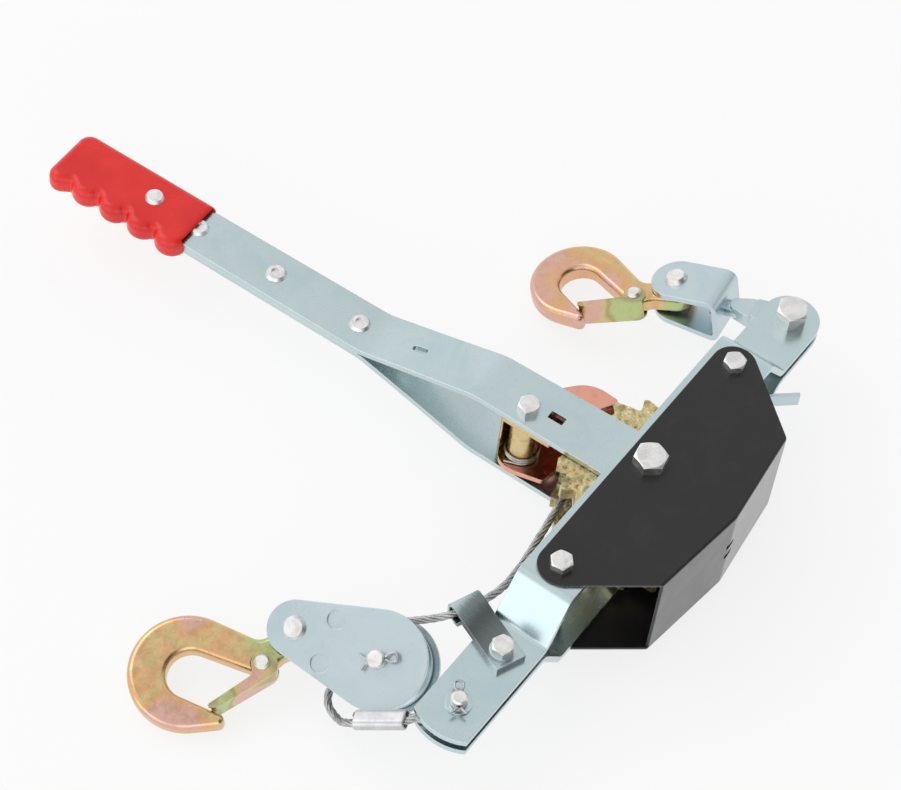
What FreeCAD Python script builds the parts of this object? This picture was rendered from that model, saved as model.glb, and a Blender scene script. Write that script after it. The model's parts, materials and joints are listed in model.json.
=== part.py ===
import FreeCAD, Part
import math
import os

import Sketcher

# Come along winch: a hand lever winch with a double ratchet wheel, a wire rope and a pulley block.
# Millimetres, +Z up, lying on its side as on a bench: the drum's axle stands upright, the rope end
# of the frame points to -X, the swivel hook end to +X and the lever to +Y.
# The sheet holds every driving size, and as formulas the places that follow them. The drum's place
# is the point where its axle crosses mid height, and places along the frame and lever count from it.

V = FreeCAD.Vector
DOC = FreeCAD.newDocument("come_along_winch")
DIM = DOC.addObject("Spreadsheet::Sheet", "Dim")

SIZES = [
    # Place of the drum in the row
    ("drum_x", 52.78),
    ("drum_y", -190.75),
    ("drum_z", 50.0),
    # Frame plates
    ("plate_thick", 4.0),
    ("frame_wide", 38.0),
    ("frame_gap", 61.0),
    ("frame_end_gap", 5.6),
    ("frame_flat_half", "=wheel_tip_r + 55.0"),
    ("frame_slope_run", 21.0),
    ("frame_slope_end", "=frame_flat_half + frame_slope_run"),
    ("frame_bend", 5.0),
    ("rope_end_x", "=frame_slope_end + 86.4"),
    ("rope_end_arc", 36.0),
    # Guard
    ("guard_sheet", 2.0),
    ("guard_hinge_r", 14.5),
    ("guard_corner_x", "=wheel_tip_r + 13.2"),
    ("guard_corner_y", "=wheel_tip_r + 0.8"),
    ("guard_apex_y", "=wheel_tip_r + 8.6"),
    ("guard_apex_r", 9.0),
    ("guard_slot_long", 8.0),
    ("guard_slot_tall", 4.0),
    ("guard_slot_gap", 3.2),
    ("guard_slot_x", 3.0),
    # M8 fasteners
    ("small_af", 13.0),
    ("small_head", 5.3),
    ("small_nut", 6.5),
    ("small_shank_r", 3.95),
    ("small_hole_r", 4.15),
    ("small_washer_r", 8.0),
    ("small_washer_thick", 1.6),
    ("bolt_stick", 3.0),
    ("guard_bolt_x", "=wheel_tip_r + 39.6"),
    ("spacer_r", 7.5),
    # M12 fasteners
    ("big_af", 19.0),
    ("big_head", 7.5),
    ("big_nut", 10.0),
    ("big_shank_r", 5.95),
    ("big_hole_r", 6.2),
    ("big_washer_r", 12.0),
    ("big_washer_thick", 2.0),
    ("axle_stick", 1.5),
    ("swivel_bolt_head", 12.0),
    ("swivel_bolt_x", "=frame_slope_end + 39.0"),
    ("thin_washer_thick", 1.1),
    # Anchor of the rope's end
    ("anchor_x", "=frame_slope_end + 63.0"),
    ("anchor_r", 5.0),
    ("anchor_head_r", 7.5),
    ("anchor_head", 3.5),
    ("anchor_washer_r", 8.0),
    ("anchor_washer_thick", 1.5),
    ("anchor_stick", 7.0),
    ("pin_fit", 0.15),
    # Split pins
    ("split_wire_r", 0.8),
    ("split_eye_r", 2.6),
    ("split_eye_reach", 2.6),
    ("anchor_split_turn", 216.0),
    ("sheave_split_turn", 118.0),
    ("split_hole_fit", 0.25),
    # Guide strap for the rope
    ("strap_bolt_x", "=frame_slope_end + 19.5"),
    ("strap_turn", 68.0),
    ("strap_wide", 20.0),
    ("strap_sheet", 2.0),
    ("strap_tail", 10.0),
    ("strap_loop_s", "=frame_wide / 2 + 19.0"),
    ("strap_loop_z", 5.0),
    ("strap_loop_half_wide", 5.0),
    ("strap_loop_half_tall", 5.8),
    ("strap_leg_gap", 0.1),
    # Rope
    ("rope_r", 2.5),
    ("rope_pitch", 5.5),
    ("rope_turns", 3.0),
    ("rope_touch", 0.3),
    ("rope_leave", 98.0),
    ("rope_tail", 20.5),
    ("eye_turn", 140.0),
    ("rope_lane", "=frame_wide / 2 + 7.0"),
    ("ferrule_long", 33.5),
    ("ferrule_wide", 13.0),
    ("ferrule_tall", 8.0),
    ("strand_gap", 0.2),
    # Drum and ratchet wheels
    ("wheel_thick", 10.0),
    ("wheel_inner_z", 14.5),
    ("wheel_tip_r", 55.0),
    ("wheel_root_r", "=wheel_tip_r - 9.0"),
    ("wheel_teeth", 17),
    ("wheel_turn", 35.7),
    ("bush_r", 9.0),
    ("bush_end", 0.1),
    ("axle_fit", 0.06),
    ("core_r", 21.0),
    ("layers_r", "=wheel_tip_r - 17.8"),
    ("layers_end", 0.4),
    # Lever
    ("lever_turn", 92.0),
    ("lever_side_gap", 0.7),
    ("lever_end_r", 20.5),
    ("lever_bend_in", "=wheel_tip_r + 60.0"),
    ("lever_bend_out", "=lever_bend_in + 85.7"),
    ("lever_bend_r", 32.0),
    ("lever_half_mid", 18.0),
    ("lever_half_far", 17.0),
    ("lever_long", 424.0),
    ("lever_far_y", "=lever_long - 84.0"),
    ("lever_mid_y", "=lever_bend_in + 45.0"),
    ("rivet_head_r", 7.0),
    ("rivet_head", 2.2),
    ("rivet_dish_r", 3.0),
    ("rivet_dish", 1.2),
    ("rivet_shank_r", 3.0),
    ("rivet_one_y", "=lever_bend_out + 12.0"),
    ("rivet_two_y", "=lever_long - 145.7"),
    ("rivet_three_y", "=lever_long - 84.4"),
    ("grip_rivet_y", "=lever_long - 49.0"),
    ("grip_rivet_r", 6.5),
    ("slot_y", "=lever_bend_in + 52.0"),
    ("slot_r", 2.3),
    ("slot_half", 2.9),
    ("window_x", -2.0),
    ("window_y", "=wheel_tip_r + 10.0"),
    ("window_long", 10.5),
    ("window_wide", 6.0),
    # Grip
    ("grip_start", "=lever_long - 85.5"),
    ("grip_end", "=lever_long + 21.0"),
    ("grip_side", 19.5),
    ("grip_corner", 9.0),
    ("grip_valley_r", 2.0),
    ("grip_bump_r", 11.5),
    ("grip_bump_out", 26.0),
    ("grip_pitch", 22.3),
    ("grip_first", "=grip_start + 11.6"),
    ("grip_mouth_tall", 14.0),
    ("grip_mouth_deep", 8.5),
    ("grip_thick", 17.0),
    ("grip_round", 6.0),
    ("grip_fit", 0.05),
    # Driving pawl, hung on a spacer tube between the lever's plates
    ("pawl_x", -6.5),
    ("pawl_y", "=wheel_tip_r + 28.0"),
    ("pawl_tube_r", 9.6),
    ("pawl_half", 21.5),
    ("pawl_sheet", 4.0),
    ("pawl_head_r", 15.5),
    ("pawl_upper_edge", -16.5),
    ("pawl_wheel_gap", 4.0),
    ("pawl_arch_x", 16.0),
    ("pawl_arch_y", "=wheel_tip_r"),
    ("pawl_arch_r", 22.3),
    ("pawl_nose_r", 2.5),
    ("pawl_nose_turn", 52.6),
    ("pawl_tip_gap", 0.7),
    ("pawl_tail_x", -14.5),
    ("pawl_tail_y", "=wheel_tip_r + 8.0"),
    ("pawl_tail_r", 3.0),
    ("pivot_fit", 0.06),
    # Holding pawl on the swivel side's spacer tube
    ("hold_head_r", 12.0),
    ("hold_nose_turn", -40.3),
    ("hold_nose_r", 2.2),
    ("hold_tab_sheet", 2.5),
    ("hold_tab_low", -2.0),
    ("hold_tab_tall", 10.0),
    # Torsion springs of the pawls
    ("pawl_spring_r", 0.7),
    ("pawl_spring_pitch", 2.0),
    ("pawl_spring_turns", 2.25),
    ("pawl_spring_gap", 0.35),
    ("pawl_spring_leg", 9.0),
    ("pawl_spring_lift", 0.8),
    ("drive_spring_turn", 200.0),
    ("hold_spring_turn", 20.0),
    # Pulley block
    ("block_x", "=-frame_slope_end - 54.8"),
    ("block_y", "=frame_wide / 2 + 38.8"),
    ("block_z", -18.8),
    ("block_tilt", 29.8),
    ("block_turn", 102.4),
    ("cheek_r", 30.4),
    ("cheek_end_r", 17.1),
    ("cheek_thick", 3.0),
    ("block_thick", 34.7),
    ("block_pin_y", 55.1),
    ("block_dimple_x", 13.8),
    ("block_dimple_y", 32.5),
    ("block_dimple_r", 6.0),
    ("block_dimple_deep", 1.4),
    ("sheave_axle_r", 5.5),
    ("sheave_axle_head", 3.0),
    ("sheave_axle_head_r", 8.5),
    ("sheave_axle_stick", 6.5),
    ("sheave_r", 28.0),
    ("sheave_half", 11.0),
    ("sheave_bush_r", 8.5),
    ("groove_r", 24.0),
    ("side_gap", 0.3),
    ("hook_pin_r", 5.5),
    ("hook_pin_head_r", 7.6),
    ("hook_pin_head", 2.8),
    # Hooks
    ("hook_thick", 13.0),
    ("hook_round", 3.6),
    ("hook_eye_r", 14.5),
    ("hook_eye_hole_r", 8.3),
    ("hook_bowl_x", 2.0),
    ("hook_bowl_y", 72.9),
    ("hook_bowl_r", 35.9),
    ("hook_inner_x", -0.5),
    ("hook_inner_y", 71.5),
    ("hook_inner_r", 14.8),
    ("hook_waist_x", 13.0),
    ("hook_waist_y", 22.0),
    ("hook_waist_r", 9.5),
    ("hook_tip_x", -33.0),
    ("hook_tip_y", 67.3),
    ("hook_tip_r", 4.0),
    ("hook_lug_x", -11.4),
    ("hook_lug_y", 29.8),
    ("hook_lug_r", 6.5),
    ("hook_neck_x", -20.5),
    ("hook_neck_y", 15.5),
    ("hook_neck_r", 7.0),
    ("latch_turn", 9.0),
    ("latch_out", 9.7),
    ("latch_long", 38.8),
    ("latch_ear_long", 41.2),
    ("latch_ear_r", 6.6),
    ("latch_end_r", 1.5),
    ("latch_curl_r", 8.0),
    ("latch_curl_y", -0.5),
    ("latch_curl_stop", 226.0),
    ("latch_hollow_r", 5.0),
    ("latch_sheet", 1.5),
    ("latch_inner", 7.1),
    ("latch_rivet_r", 3.0),
    ("latch_rivet_head_r", 5.0),
    ("latch_rivet_head", 2.0),
    ("latch_spring_r", 0.6),
    ("latch_spring_pitch", 1.65),
    ("latch_spring_turns", 1.25),
    ("latch_spring_leg", 4.0),
    ("latch_spring_turn", 265.0),
    ("latch_recess_r", 7.2),
    ("latch_recess_deep", 3.8),
    ("block_hook_turn", 149.0),
    ("block_hook_droop", 9.0),
    ("block_hook_roll", 9.2),
    # Swivel
    ("swivel_turn", 97.5),
    ("swivel_droop", 13.4),
    ("swivel_hook_turn", 18.0),
    ("swivel_hook_scale", 0.9),
    ("eye_lug_r", 14.0),
    ("eye_lug_gap", 0.3),
    ("eye_lug_half", 8.0),
    ("eye_lug_long", 26.0),
    ("eye_keep_gap", 4.6),
    ("neck_y", 26.5),
    ("neck_r", 7.8),
    ("neck_low", -4.0),
    ("neck_tall", 10.5),
    ("neck_end_y", 36.0),
    ("neck_end_r", 4.8),
    ("shank_start", 27.5),
    ("shank_r", 5.5),
    ("shank_head_r", 9.0),
    ("shank_head", 4.5),
    ("clevis_web", 43.0),
    ("clevis_sheet", 4.0),
    ("clevis_half", 17.8),
    ("clevis_wide", 32.8),
    ("clevis_pin_y", 79.4),
    ("clevis_inner", 6.9),
    ("clevis_bend", 3.0),
    ("clevis_pin_r", 5.5),
    ("clevis_pin_head_r", 7.6),
    ("clevis_pin_head", 3.2),
    ("swivel_washer_thick", 1.8),
]


def fill_sheet():
    for row, (alias, size) in enumerate(SIZES, start=1):
        DIM.set(f"A{row}", alias)
        DIM.setAlias(f"B{row}", alias)
    for row, (alias, size) in enumerate(SIZES, start=1):
        DIM.set(f"B{row}", str(size))
    DOC.recompute()


class Sizes:
    """Reads a cell of the sheet as a number."""

    def __getattr__(self, alias):
        return float(DIM.get(alias))


S = Sizes()
fill_sheet()

NODES = []


# Heights that several pieces share, as formulas of the sheet
FRAME_IN = "Dim.frame_gap / 2"
FRAME_OUT = "(Dim.frame_gap / 2 + Dim.plate_thick)"
GUARD_OUT = "(Dim.frame_gap / 2 + Dim.plate_thick + Dim.guard_sheet)"
END_IN = "Dim.frame_end_gap / 2"
END_OUT = "(Dim.frame_end_gap / 2 + Dim.plate_thick)"
WHEEL_OUT = "(Dim.wheel_inner_z + Dim.wheel_thick)"
LEVER_IN = "(Dim.wheel_inner_z + Dim.wheel_thick + Dim.lever_side_gap)"
LEVER_OUT = "(Dim.wheel_inner_z + Dim.wheel_thick + Dim.lever_side_gap + Dim.plate_thick)"

# Flats, height and radius of the shank or the thread's hole
SMALL_BOLT = ("Dim.small_af", "Dim.small_head", "Dim.small_shank_r")
SMALL_NUT = ("Dim.small_af", "Dim.small_nut", "Dim.small_shank_r + 0.05")
BIG_NUT = ("Dim.big_af", "Dim.big_nut", "Dim.big_shank_r + 0.05")


def value(formula):
    return float(DIM.evalExpression(str(formula)))


def bind(obj, prop, formula):
    obj.setExpression(prop, str(formula))


def rot(axis, degrees):
    return FreeCAD.Placement(V(0, 0, 0), FreeCAD.Rotation(axis, degrees))


def shift(x, y, z):
    return FreeCAD.Placement(V(x, y, z), FreeCAD.Rotation())


X_AXIS = V(1, 0, 0)
Y_AXIS = V(0, 1, 0)
Z_AXIS = V(0, 0, 1)

BASE = shift(S.drum_x, S.drum_y, S.drum_z)
LEVER = BASE * rot(Z_AXIS, S.lever_turn - 90)
BLOCK = (
    BASE
    * shift(S.block_x, S.block_y, S.block_z)
    * rot(Y_AXIS, -S.block_tilt)
    * rot(Z_AXIS, S.block_turn - 90)
)
SWIVEL_BOLT = BASE * shift(S.swivel_bolt_x, 0, 0) * rot(Z_AXIS, S.swivel_turn - 90)
SWIVEL = SWIVEL_BOLT * rot(X_AXIS, -S.swivel_droop)
SWIVEL_HOOK = SWIVEL * shift(0, S.clevis_pin_y, 0) * rot(Z_AXIS, S.swivel_hook_turn)
BLOCK_PIN = BLOCK.multVec(V(0, S.block_pin_y, 0))
BLOCK_HOOK = (
    shift(BLOCK_PIN.x, BLOCK_PIN.y, BLOCK_PIN.z)
    * rot(Z_AXIS, S.block_hook_turn - 90)
    * rot(X_AXIS, -S.block_hook_droop)
    * rot(Y_AXIS, -S.block_hook_roll)
)


def node(obj, name, place=None):
    """Names a finished piece and stands it in its place in the row."""
    obj.Label = name
    if place is None:
        for axis in ("x", "y", "z"):
            bind(obj, f"Placement.Base.{axis}", f"Dim.drum_{axis}")
    else:
        obj.Placement = place
    NODES.append((name, obj))
    return obj


# Outlines


def belt(circles):
    """Closed outline round circles (x, y, r, side): side 1 where it turns left, -1 where right."""
    spans = []
    count = len(circles)
    for i in range(count):
        xa, ya, ra, sa = circles[i]
        xb, yb, rb, sb = circles[(i + 1) % count]
        step = V(xb - xa, yb - ya, 0)
        along = V(step).normalize()
        left = V(-along.y, along.x, 0)
        tilt = (rb * sb - ra * sa) / step.Length
        normal = along * tilt + left * math.sqrt(1 - tilt * tilt)
        spans.append((V(xa, ya, 0) - normal * (ra * sa), V(xb, yb, 0) - normal * (rb * sb)))
    path = []
    for i in range(count):
        x, y, r, side = circles[i]
        arrive = spans[i - 1][1]
        leave = spans[i][0]
        if r > 0 and (arrive - leave).Length > 1e-6:
            path.append(("arc", V(x, y, 0), r, arrive, leave, side))
        path.append(("line", leave, spans[i][1]))
    return path


def rounded(corners):
    """Closed outline through corners (x, y, r), each rounded by its radius."""
    count = len(corners)
    points = [V(x, y, 0) for x, y, r in corners]
    cuts = []
    for i in range(count):
        back = (points[i - 1] - points[i]).normalize()
        ahead = (points[(i + 1) % count] - points[i]).normalize()
        r = corners[i][2]
        half = back.getAngle(ahead) / 2
        if r == 0 or abs(half - math.pi / 2) < 1e-4:
            cuts.append((points[i], points[i], None))
            continue
        reach = r / math.tan(half)
        centre = points[i] + (back + ahead).normalize() * (r / math.sin(half))
        side = 1 if back.cross(ahead).z < 0 else -1
        cuts.append((points[i] + back * reach, points[i] + ahead * reach, (centre, r, side)))
    path = []
    for i in range(count):
        arrive, leave, arc = cuts[i]
        if arc:
            path.append(("arc", arc[0], arc[1], arrive, leave, arc[2]))
        if (cuts[(i + 1) % count][0] - leave).Length > 1e-6:
            path.append(("line", leave, cuts[(i + 1) % count][0]))
    return path


def oblong(left, low, right, high, r):
    return rounded([(left, low, r), (right, low, r), (right, high, r), (left, high, r)])


def strip(points, thick):
    """Outline of a bent strip: centre line points (x, y, r of the bend's inside)."""
    sides = []
    for sign in (1, -1):
        row = []
        for i, (x, y, r) in enumerate(points):
            here = V(x, y, 0)
            before = (here - V(points[i - 1][0], points[i - 1][1], 0)).normalize() if i else None
            after = None
            if i + 1 < len(points):
                after = (V(points[i + 1][0], points[i + 1][1], 0) - here).normalize()
            one = before or after
            two = after or before
            mid = V(-(one.y + two.y), one.x + two.x, 0).normalize()
            reach = thick / 2 / math.cos(one.getAngle(two) / 2)
            inside = sign * one.cross(two).z > 0
            radius = 0 if not (before and after) else (r if inside else r + thick)
            edge = here + mid * (sign * reach)
            row.append((edge.x, edge.y, radius))
        sides.append(row)
    return rounded(sides[0] + sides[1][::-1])


def draw(sketch, path):
    """Adds an outline to a sketch, its ends joined."""
    ends = []
    for step in path:
        if step[0] == "line":
            index = sketch.addGeometry(Part.LineSegment(step[1], step[2]), False)
            ends.append((index, 1, 2))
            continue
        centre, r, start, stop, side = step[1:]
        first, last = (start, stop) if side > 0 else (stop, start)
        a = math.atan2(first.y - centre.y, first.x - centre.x)
        b = math.atan2(last.y - centre.y, last.x - centre.x)
        if b <= a:
            b += 2 * math.pi
        index = sketch.addGeometry(Part.ArcOfCircle(Part.Circle(centre, Z_AXIS, r), a, b), False)
        ends.append((index, 1, 2) if side > 0 else (index, 2, 1))
    for i, (index, _, out) in enumerate(ends):
        after = ends[(i + 1) % len(ends)]
        sketch.addConstraint(Sketcher.Constraint("Coincident", index, out, after[0], after[1]))


def circle(sketch, x, y, r):
    """Adds a circle whose place and radius follow formulas of the sheet."""
    index = sketch.addGeometry(Part.Circle(V(value(x), value(y), 0), Z_AXIS, value(r)), False)
    for kind, formula, axis in (("DistanceX", x, -2), ("DistanceY", y, -1)):
        if value(formula) == 0:
            sketch.addConstraint(Sketcher.Constraint("PointOnObject", index, 3, axis))
        else:
            row = sketch.addConstraint(Sketcher.Constraint(kind, -1, 1, index, 3, value(formula)))
            bind(sketch, f"Constraints[{row}]", formula)
    row = sketch.addConstraint(Sketcher.Constraint("Radius", index, value(r)))
    bind(sketch, f"Constraints[{row}]", r)


# Bodies made of sketches


def new_body(name):
    return DOC.addObject("PartDesign::Body", "Body_" + name)


def new_sketch(body, role="XY_Plane", height=0):
    sketch = body.newObject("Sketcher::SketchObject", body.Name + "_sketch")
    plane = [f for f in body.Origin.OriginFeatures if f.Role == role][0]
    sketch.AttachmentSupport = [(plane, "")]
    sketch.MapMode = "FlatFace"
    if height:
        bind(sketch, "AttachmentOffset.Base.z", height)
    return sketch


def pad(body, sketch, length, both=False):
    feature = body.newObject("PartDesign::Pad", body.Name + "_pad")
    feature.Profile = sketch
    feature.SideType = "Symmetric" if both else "One side"
    bind(feature, "Length", length)
    DOC.recompute()
    return feature


def pocket(body, sketch, length, both=True, reverse=False):
    before = body.Shape.Volume
    feature = body.newObject("PartDesign::Pocket", body.Name + "_pocket")
    feature.Profile = sketch
    feature.SideType = "Symmetric" if both else "One side"
    feature.Reversed = reverse
    bind(feature, "Length", length)
    DOC.recompute()
    if not body.Shape.Volume < before:
        raise ValueError(f"{body.Name}: a pocket cuts nothing")
    return feature


def holes(body, rows, deep, role="XY_Plane"):
    sketch = new_sketch(body, role)
    for x, y, r in rows:
        circle(sketch, x, y, r)
    return pocket(body, sketch, deep)


def soften(body, radius, wanted):
    """Rounds the edges whose middle passes the test."""
    base = body.Tip
    names = []
    for i, edge in enumerate(base.Shape.Edges, start=1):
        middle = edge.valueAt((edge.FirstParameter + edge.LastParameter) / 2)
        if wanted(middle, edge):
            names.append(f"Edge{i}")
    feature = body.newObject("PartDesign::Fillet", body.Name + "_fillet")
    feature.Base = (base, names)
    bind(feature, "Radius", radius)
    DOC.recompute()
    return feature


# Solids made of primitives


def stand(obj, x, y, z):
    for axis, formula in (("x", x), ("y", y), ("z", z)):
        if formula != 0:
            bind(obj, f"Placement.Base.{axis}", formula)


def cylinder(r, tall, x=0, y=0, z=0):
    obj = DOC.addObject("Part::Cylinder", "Round")
    bind(obj, "Radius", r)
    bind(obj, "Height", tall)
    stand(obj, x, y, z)
    return obj


def cone(low_r, high_r, tall, x=0, y=0, z=0):
    obj = DOC.addObject("Part::Cone", "Taper")
    bind(obj, "Radius1", low_r)
    bind(obj, "Radius2", high_r)
    bind(obj, "Height", tall)
    stand(obj, x, y, z)
    return obj


def fuse(parts):
    obj = DOC.addObject("Part::MultiFuse", "Joined")
    obj.Shapes = parts
    return obj


def cut(base, tool):
    obj = DOC.addObject("Part::Cut", "Bored")
    obj.Base = base
    obj.Tool = tool
    return obj


def common(parts):
    obj = DOC.addObject("Part::MultiCommon", "Shared")
    obj.Shapes = parts
    return obj


def washer(outer, hole, thick, x, y, z):
    through = f"{thick} + 2"
    return cut(cylinder(outer, thick, x, y, z), cylinder(hole, through, x, y, f"{z} - 1"))


def hex_block(flats, tall, x, y, z, turned=0, crown_up=True):
    """Hexagon with its free face's corners turned off."""
    prism = DOC.addObject("Part::Prism", "Hexagon")
    prism.Polygon = 6
    bind(prism, "Circumradius", f"{flats} / sqrt(3)")
    bind(prism, "Height", tall)
    stand(prism, x, y, z)
    bind(prism, "Placement.Rotation.Angle", turned)
    wide = f"{flats} / 2 * 0.94 + {tall} * sqrt(3)"
    narrow = f"{flats} / 2 * 0.94"
    ends = (wide, narrow) if crown_up else (narrow, wide)
    return common([prism, cone(ends[0], ends[1], tall, x, y, z)])


def bolt(flats, head, shank_r, x, y, seat, end, turned=0):
    """Bolt with its head's underside at seat and its shank's end at end, below it."""
    shank_tip = f"{shank_r} * 0.16"
    plain = cylinder(shank_r, f"{seat} - ({end}) - {shank_tip}", x, y, f"{end} + {shank_tip}")
    tip = cone(f"{shank_r} - {shank_tip}", shank_r, shank_tip, x, y, end)
    return fuse([hex_block(flats, head, x, y, seat, turned), plain, tip])


def nut(flats, tall, hole_r, x, y, top, turned=0):
    low = f"{top} - {tall}"
    return cut(
        hex_block(flats, tall, x, y, low, turned, crown_up=False),
        cylinder(hole_r, f"{tall} + 2", x, y, f"{low} - 1"),
    )


def group(parts):
    """Separate solids held as one piece's shape."""
    obj = DOC.addObject("Part::Compound", "Group")
    obj.Links = parts
    return obj


def feature(shape, label):
    obj = DOC.addObject("Part::Feature", label)
    obj.Shape = shape
    return obj


# Tubes of rope and wire


def route(points, first_radii=None):
    """Straight runs joined by tangent arcs. Each arc is as large as its runs allow, unless set."""
    radii = dict(first_radii or {})
    edges = []
    made = []
    start = points[0]
    for i in range(1, len(points) - 1):
        back = points[i - 1] - points[i]
        ahead = points[i + 1] - points[i]
        half_turn = (math.pi - back.getAngle(ahead)) / 2
        r = radii.get(i) or 0.45 * min(back.Length, ahead.Length) / math.tan(half_turn)
        reach = r * math.tan(half_turn)
        back.normalize()
        ahead.normalize()
        enter = points[i] + back * reach
        leave = points[i] + ahead * reach
        centre = points[i] + (back + ahead).normalize() * (r / math.cos(half_turn))
        middle = centre + (points[i] - centre).normalize() * r
        edges.append(Part.LineSegment(start, enter).toShape())
        edges.append(Part.Arc(enter, middle, leave).toShape())
        made.append(r)
        start = leave
    edges.append(Part.LineSegment(start, points[-1]).toShape())
    return edges, made


def tube(edges, r, label):
    """Round tube along joined edges, its volume compared with its section times its length."""
    spine = Part.Wire(edges)
    head = edges[0]
    where = head.valueAt(head.FirstParameter)
    along = head.tangentAt(head.FirstParameter)
    ring = Part.Wire([Part.Circle(where, along, r).toShape()])
    solid = spine.makePipeShell([ring], True, False)
    if solid.Volume < 0:
        solid.reverse()
    ideal = math.pi * r * r * spine.Length
    print(f"{label}: length {spine.Length:.1f}, volume over ideal {solid.Volume / ideal:.4f}")
    return solid


def biarc(p, p_dir, q, q_dir):
    """Two tangent arcs from p to q."""
    step = q - p
    both = p_dir + q_dir
    spread = 2 * (1 - p_dir.dot(q_dir))
    reach = (-step.dot(both) + math.sqrt(step.dot(both) ** 2 + spread * step.dot(step))) / spread
    p_corner = p + p_dir * reach
    q_corner = q - q_dir * reach
    joint = (p_corner + q_corner) / 2
    arcs = []
    for a, corner, b in ((p, p_corner, joint), (joint, q_corner, q)):
        half = (a - corner).getAngle(b - corner) / 2
        inward = ((a + b) / 2 - corner).normalize()
        middle = corner + inward * ((a - corner).Length * (1 - math.sin(half)) / math.cos(half))
        arcs.append(Part.Arc(a, middle, b).toShape())
    return arcs


def coil(r, pitch, turns, start_turn, start_z, lead_in, lead_out):
    """Edges of a helix about Z with straight leads, climbing as it turns left."""
    climb = pitch / (2 * math.pi)

    def at(turn):
        return V(r * math.cos(turn), r * math.sin(turn), start_z + climb * (turn - first))

    def heading(turn):
        return V(-r * math.sin(turn), r * math.cos(turn), climb).normalize()

    first = math.radians(start_turn)
    quarters = max(1, round(turns * 4))
    edges = []
    if lead_in:
        edges.append(Part.LineSegment(at(first) - heading(first) * lead_in, at(first)).toShape())
    for i in range(quarters):
        a = first + i * turns * 2 * math.pi / quarters
        b = first + (i + 1) * turns * 2 * math.pi / quarters
        edges += biarc(at(a), heading(a), at(b), heading(b))
    last = first + turns * 2 * math.pi
    if lead_out:
        edges.append(Part.LineSegment(at(last), at(last) + heading(last) * lead_out).toShape())
    return edges


def least_gap(edges, wire_r, label):
    """Least gap between a wire's surface and itself, a full section away along it."""
    points = []
    travelled = 0.0
    for edge in edges:
        steps = max(2, int(edge.Length / wire_r))
        for i in range(steps):
            at = edge.FirstParameter + (edge.LastParameter - edge.FirstParameter) * i / steps
            points.append((travelled + edge.Length * i / steps, edge.valueAt(at)))
        travelled += edge.Length
    best = None
    for i, (one, p) in enumerate(points):
        for two, q in points[i + 1:]:
            if two - one < 6 * wire_r:
                continue
            gap = (p - q).Length - 2 * wire_r
            best = gap if best is None else min(best, gap)
    print(f"{label}: least gap to itself {best:.2f}")


# Frame


def frame_plate(name, sign):
    """Strip bent out over the drum and back to a flat at each end, drawn from the side."""
    middle = sign * (S.frame_gap + S.plate_thick) / 2
    end = sign * (S.frame_end_gap + S.plate_thick) / 2
    slope_end = S.frame_slope_end
    rope_x = -S.rope_end_x - 1
    swivel_x = S.swivel_bolt_x + S.frame_wide / 2 + 1
    line = [
        (rope_x, end, 0),
        (-slope_end, end, S.frame_bend),
        (-S.frame_flat_half, middle, S.frame_bend),
        (S.frame_flat_half, middle, S.frame_bend),
        (slope_end, end, S.frame_bend),
        (swivel_x, end, 0),
    ]
    body = new_body(name)
    side = new_sketch(body, "XZ_Plane")
    draw(side, strip(line, S.plate_thick))
    pad(body, side, "Dim.frame_wide", both=True)

    half = S.frame_wide / 2
    arc_x = -S.rope_end_x + S.rope_end_arc
    arc_turn = math.asin(half / S.rope_end_arc)
    corner_x = arc_x - S.rope_end_arc * math.cos(arc_turn)
    swivel = V(S.swivel_bolt_x, 0, 0)
    up = V(0, half, 0)
    rope_low = V(corner_x, -half, 0)
    rope_high = V(corner_x, half, 0)
    outline = [
        ("line", rope_low, swivel - up),
        ("arc", swivel, half, swivel - up, swivel + up, 1),
        ("line", swivel + up, rope_high),
        ("arc", V(arc_x, 0, 0), S.rope_end_arc, rope_high, rope_low, 1),
    ]
    margin = S.frame_wide
    left = rope_x - margin
    right = swivel_x + margin
    waste = new_sketch(body)
    draw(waste, rounded([(left, -margin, 0), (right, -margin, 0), (right, margin, 0), (left, margin, 0)]))
    draw(waste, outline)
    pocket(body, waste, "Dim.frame_gap * 2")

    rows = [
        (0, 0, "Dim.big_hole_r"),
        ("Dim.guard_bolt_x", 0, "Dim.small_hole_r"),
        ("-Dim.guard_bolt_x", 0, "Dim.small_hole_r"),
        ("-Dim.strap_bolt_x", 0, "Dim.small_hole_r"),
        ("-Dim.anchor_x", 0, "Dim.anchor_r + Dim.pin_fit"),
        ("Dim.swivel_bolt_x", 0, "Dim.big_hole_r"),
    ]
    holes(body, rows, "Dim.frame_gap * 2")
    node(body, name)


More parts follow.
